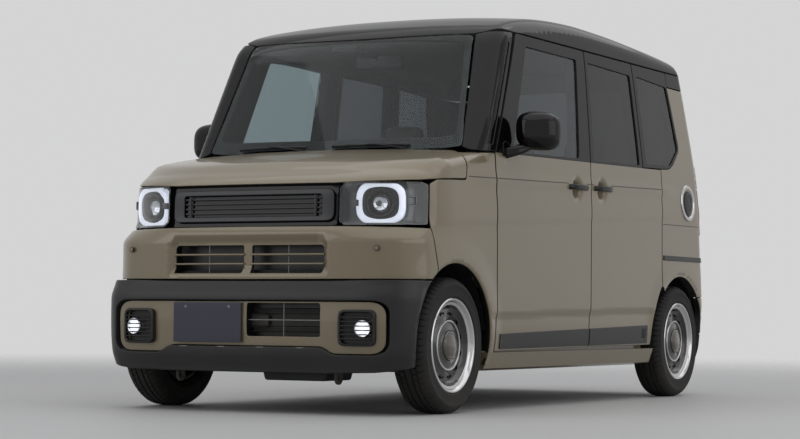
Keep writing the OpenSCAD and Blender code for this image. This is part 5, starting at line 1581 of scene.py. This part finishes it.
# %% Mirror, sensor cover, arm rests, mats and grab handles
soft_block("inner_mirror", (-55, -672, 1500), (155, -650, 1560), 9, "body", gloss_black,
           shape=lambda x, y, z: (x, y + 0.12 * (x - 50), z))
soft_block("inner_mirror_glass", (-48, -649.5, 1507), (148, -647.5, 1553), 0.9, "body", chrome,
           shape=lambda x, y, z: (x, y + 0.12 * (x - 50), z))
swept("inner_mirror_stem", [(20, -776, 1600), (24, -742, 1584), (36, -700, 1556), (50, -664, 1534)], oval(12, 12, 12),
      "body", trim_dark)
soft_block("sensor_cover", (-110, -800, 1560), (14, -730, 1588), 9, "body", dark_plastic,
           shape=lambda x, y, z: (x, y + (z - 1574) * 0.5, z))
soft_block("arm_rest_front", (634, -560, 700), (682, -110, 752), 16, "front_door_{}", trim_dark, both=True)
soft_block("arm_rest_rear", (634, 250, 700), (682, 800, 752), 16, "body", trim_dark, both=True)
soft_block("floor_mat", (-566, -790, 292), (566, 462, 299), 3, "body", dark_plastic)
soft_block("luggage_mat", (-540, 1160, 531), (540, 1450, 537), 2.6, "body", dark_plastic)
print("cabin done")

# %% [markdown]
# ## The frame's own pieces that stay in sight
# The floor, the running gear and the engine are close enough in the frame, so they
# keep their own shapes and only take a finish made of the same groups.

# %% Finishes for the frame's pieces
frame_finish = {"floor_pan": chassis_black, "sills": khaki, "cowl": dark_plastic, "front_suspension": chassis_black,
    "knuckle_left": casting,
                "knuckle_right": casting, "rear_axle": chassis_black, "engine": casting, "fuel_tank": dark_plastic,
                "exhaust": pipe_steel}
left_over = []
for node, thing in frame["nodes"].items():
    for slot in thing.material_slots:
        slot.material = frame_finish.get(node, dark_plastic)
    if not thing.hide_render:
        left_over.append(node)
print("frame pieces in sight:", left_over)

# %% [markdown]
# ## Painted shoulder shadow and liners behind the seams
# The shade along the pressed shoulder is painted as one fine darker line on the side, cut at each door. Dark
# liners stand behind the seams of the bumpers, so that no light comes through them.

# %% Painted shoulder shadow line and liners
def shoulder(name, y0, y1, rides):
    ys = np.linspace(y0, y1, 16)
    line = [(y, side_line_z(y) + 9.2, 0) for y in ys] + [(y, side_line_z(y) + 4.8, 0) for y in ys[::-1]]
    # the strip's darker khaki is painted shade: it draws the crease's shadow line 0.25 mm proud of the paint
    panel(name, line, side_on, rides, painted_shoulder_shadow, both=True, sink=-0.25, depth=0.6, edge=0.2, step=40, back=False)
shoulder("shoulder_fender", -1120, DOOR_Y - GAP - 20, "body")
shoulder("shoulder_front", DOOR_Y - 8, MID_Y - 262, "front_door_{}")
shoulder("shoulder_front_end", MID_Y - 58, MID_Y - GAP - 1, "front_door_{}")
shoulder("shoulder_rear_start", MID_Y + GAP + 1, MID_Y + 28, "body")
shoulder("shoulder_rear", MID_Y + 228, REAR_Y - GAP - 1, "body")
panel("nose_liner", whole([(0, 580, 0), (s(729, -1450), 572, 0), (s(729, -1450), 505, 0), (0, 505, 0)]), round_nose,
      "body", dark_plastic, form=guard_form,
      sink=46, depth=3, step=60, edge=0.5)
panel("tail_liner", whole([(0, 540, 0), (t(1532), 536, 0), (t(1532), 470, 0), (0, 470, 0)]), round_tail, "body",
      dark_plastic, sink=42, depth=3, step=60, edge=0.5)
panel("tail_liner_low", whole([(0, 335, 0), (t(1600), 340, 0), (t(1600), 285, 0), (0, 285, 0)]), round_tail, "body",
      dark_plastic, sink=36, depth=3, step=60, edge=0.5)
soft_block("under_cover", (30, -1600, 132), (352, -1380, 196), 12, "body", dark_plastic,
           shape=lambda x, y, z: (x + (190 - x) * 0.12 * (196 - z) / 64, y, z))
print("liners done")

# %% Dark strips behind the door seams
for k, (y0, y1) in enumerate(((DOOR_Y - 34, DOOR_Y + 46), (MID_Y - 40, MID_Y + 40), (REAR_Y - 44, REAR_Y + 36))):
    panel(f"seam_liner_{k}", [(y0, 262, 0), (y0, 1085, 0), (y1, 1085, 0), (y1, 262, 0)], side_on, "body", trim_dark,
          both=True, sink=66, depth=3, step=60, edge=0.5)
print("dark strips behind the door seams: done")

# %% [markdown]
# ## Wheelhouses, seam liners and door linings
# Behind each wheel a dark shell keeps the road out of the body, and each door
# has a moulded lining, the front ones with a speaker grille. They could be boxes, but a shell
# swept round the axle and a panel laid on the side's own curve leave no gap.

# %% Wheelhouses and the inner faces of the doors
panel("tail_side_liner", [(1514, 516, 2), (1622, 516, 2), (1622, 488, 2), (1524, 488, 2)], side_on, "body",
      dark_plastic, both=True, sink=8, depth=2.5, edge=0.5, step=20)
def wheelhouse(name, cy, r, a0, a1, inner, outer):
    angles = np.radians(np.linspace(a0, a1, 33))
    path = [((inner + outer) / 2, cy + r * math.sin(a), WHEEL_Z + r * math.cos(a)) for a in angles]
    half = (outer - inner) / 2
    swept(name, path, [(0, -half), (120, -half), (120, -half - 3), (-4, -half - 3), (-4, half), (0, half)], "body",
          dark_plastic, up=(1, 0, 0), both=True, sharp=30)
REAR_SHELL, FRONT_SHELL, LINING_SINK = 342, 350, 59
wheelhouse("wheelhouse_rear", REAR_AXLE, REAR_SHELL, -78, 86, 540, 706)
wheelhouse("wheelhouse_front", FRONT_AXLE, FRONT_SHELL, -70, 80, 420, 700)
panel("door_trim_front", [(-620, 780, 60), (-610, 1010, 50), (70, 1020, 50), (90, 780, 60)], side_on, "front_door_{}",
      seat_side, both=True, sink=LINING_SINK, depth=8, edge=5, step=26)
panel("door_trim_rear", [(210, 780, 60), (210, 1020, 50), (900, 1024, 50), (900, 780, 60)], side_on, "body", seat_side,
      both=True, sink=LINING_SINK, depth=8, edge=5, step=26)
for side, sign in (("left", 1), ("right", -1)):
    turned(f"door_speaker_{side}", [(88, -4), (88, 5), (82, 9), (74, 6), (70, 2), (50, 1), (48, 4), (30, 5),
        (0.1, 5.4)], frame_at((sign * 670, -470, 470), (-sign, 0, 0)), f"front_door_{side}", dark_plastic, 56)
print("wheelhouses and linings done")

# %% [markdown]
# ## Floor, light and camera
# A pale floor and broad soft lamps show the form without harsh edges. The lamps
# stay outside the picture, and the world is a mild grey that glossy paint mirrors.

# %% Stage
def plain(name, colour, rough):
    material = bpy.data.materials.new(name)
    material.use_nodes = True
    shader = material.node_tree.nodes["Principled BSDF"]
    shader.inputs["Base Color"].default_value = (*colour, 1)
    shader.inputs["Roughness"].default_value = rough
    return material

floor_mesh = bpy.data.meshes.new("studio_floor")
floor_mesh.from_pydata([(-40, -40, 0), (40, -40, 0), (40, 40, 0), (-40, 40, 0)], [], [(0, 1, 2, 3)])
ground = plain("studio floor", (0.60, 0.60, 0.60), 0.6)
# the floor thins out with its distance from the car, so it has no far edge
tree = ground.node_tree
place = tree.nodes.new("ShaderNodeTexCoord")
far = tree.nodes.new("ShaderNodeVectorMath")
far.operation = "LENGTH"
fade = tree.nodes.new("ShaderNodeMapRange")
fade.interpolation_type = "SMOOTHSTEP"
for socket, value in (("From Min", 3.0), ("From Max", 12.0), ("To Min", 1.0), ("To Max", 0.0)):
    fade.inputs[socket].default_value = value
tree.links.new(place.outputs["Object"], far.inputs[0])
tree.links.new(far.outputs["Value"], fade.inputs["Value"])
tree.links.new(fade.outputs["Result"], tree.nodes["Principled BSDF"].inputs["Alpha"])
floor_mesh.materials.append(ground)
floor = bpy.data.objects.new("studio_floor", floor_mesh)
scene.collection.objects.link(floor)

def lamp(name, place, target, size, power, size_y=None):
    data = bpy.data.lights.new(name, "AREA")
    data.shape = "RECTANGLE"
    data.size, data.size_y = size, size_y or size
    data.energy = power
    light = bpy.data.objects.new(name, data)
    scene.collection.objects.link(light)
    light.location = place
    light.rotation_euler = (Vector(target) - Vector(place)).to_track_quat("-Z", "Y").to_euler()
    return light

lamp("overhead", (0.5, -0.5, 7.0), (0, 0, 0.8), 12.0, 230, 10.0)
lamp("nose_side", (-4.5, -7.5, 3.8), (-0.2, -1.4, 0.7), 6.0, 90, 5.0)
lamp("flank_side", (8.5, -1.0, 3.6), (0.6, 0.2, 0.8), 9.0, 110, 5.0)
lamp("rear_side", (2.0, 8.5, 7.5), (0, 0.8, 0.9), 7.0, 60, 5.0)

world = bpy.data.worlds.new("studio")
scene.world = world
world.use_nodes = True
tree = world.node_tree
sky = tree.nodes["Background"]
sky.inputs["Color"].default_value = (0.52, 0.53, 0.55, 1)
sky.inputs["Strength"].default_value = 0.5
white = tree.nodes.new("ShaderNodeBackground")
white.inputs["Color"].default_value = (0.66, 0.66, 0.665, 1)
path = tree.nodes.new("ShaderNodeLightPath")
blend_in = tree.nodes.new("ShaderNodeMixShader")
seen = tree.nodes.new("ShaderNodeMath")
seen.operation = "MAXIMUM"
through = tree.nodes.new("ShaderNodeMath")
through.operation = "MAXIMUM"
tree.links.new(path.outputs["Is Camera Ray"], seen.inputs[0])
tree.links.new(path.outputs["Is Glossy Ray"], seen.inputs[1])
tree.links.new(seen.outputs[0], through.inputs[0])
tree.links.new(path.outputs["Is Transmission Ray"], through.inputs[1])
tree.links.new(through.outputs[0], blend_in.inputs["Fac"])
tree.links.new(sky.outputs[0], blend_in.inputs[1])
tree.links.new(white.outputs[0], blend_in.inputs[2])
tree.links.new(blend_in.outputs[0], tree.nodes["World Output"].inputs["Surface"])
scene.view_settings.view_transform = "Standard"
print("stage: done")

# %% Camera
camera_data = bpy.data.cameras.new("view")
camera_data.lens = 99.78
camera_data.sensor_width = 36
camera_data.clip_end = 100
camera = bpy.data.objects.new("view", camera_data)
scene.collection.objects.link(camera)
camera.location = (4.8253, -9.3071, 0.4077)
yaw, pitch, roll = 0.49444, 0.042294, 0.008654
turn = Matrix.Rotation(yaw, 4, "Z") @ Matrix.Rotation(math.pi / 2 + pitch, 4, "X") @ Matrix.Rotation(roll, 4, "Z")
camera.rotation_euler = turn.to_euler()
scene.camera = camera
print("camera: done")

# %% Count of pieces, and the end
print("pieces:", len(pieces_made))
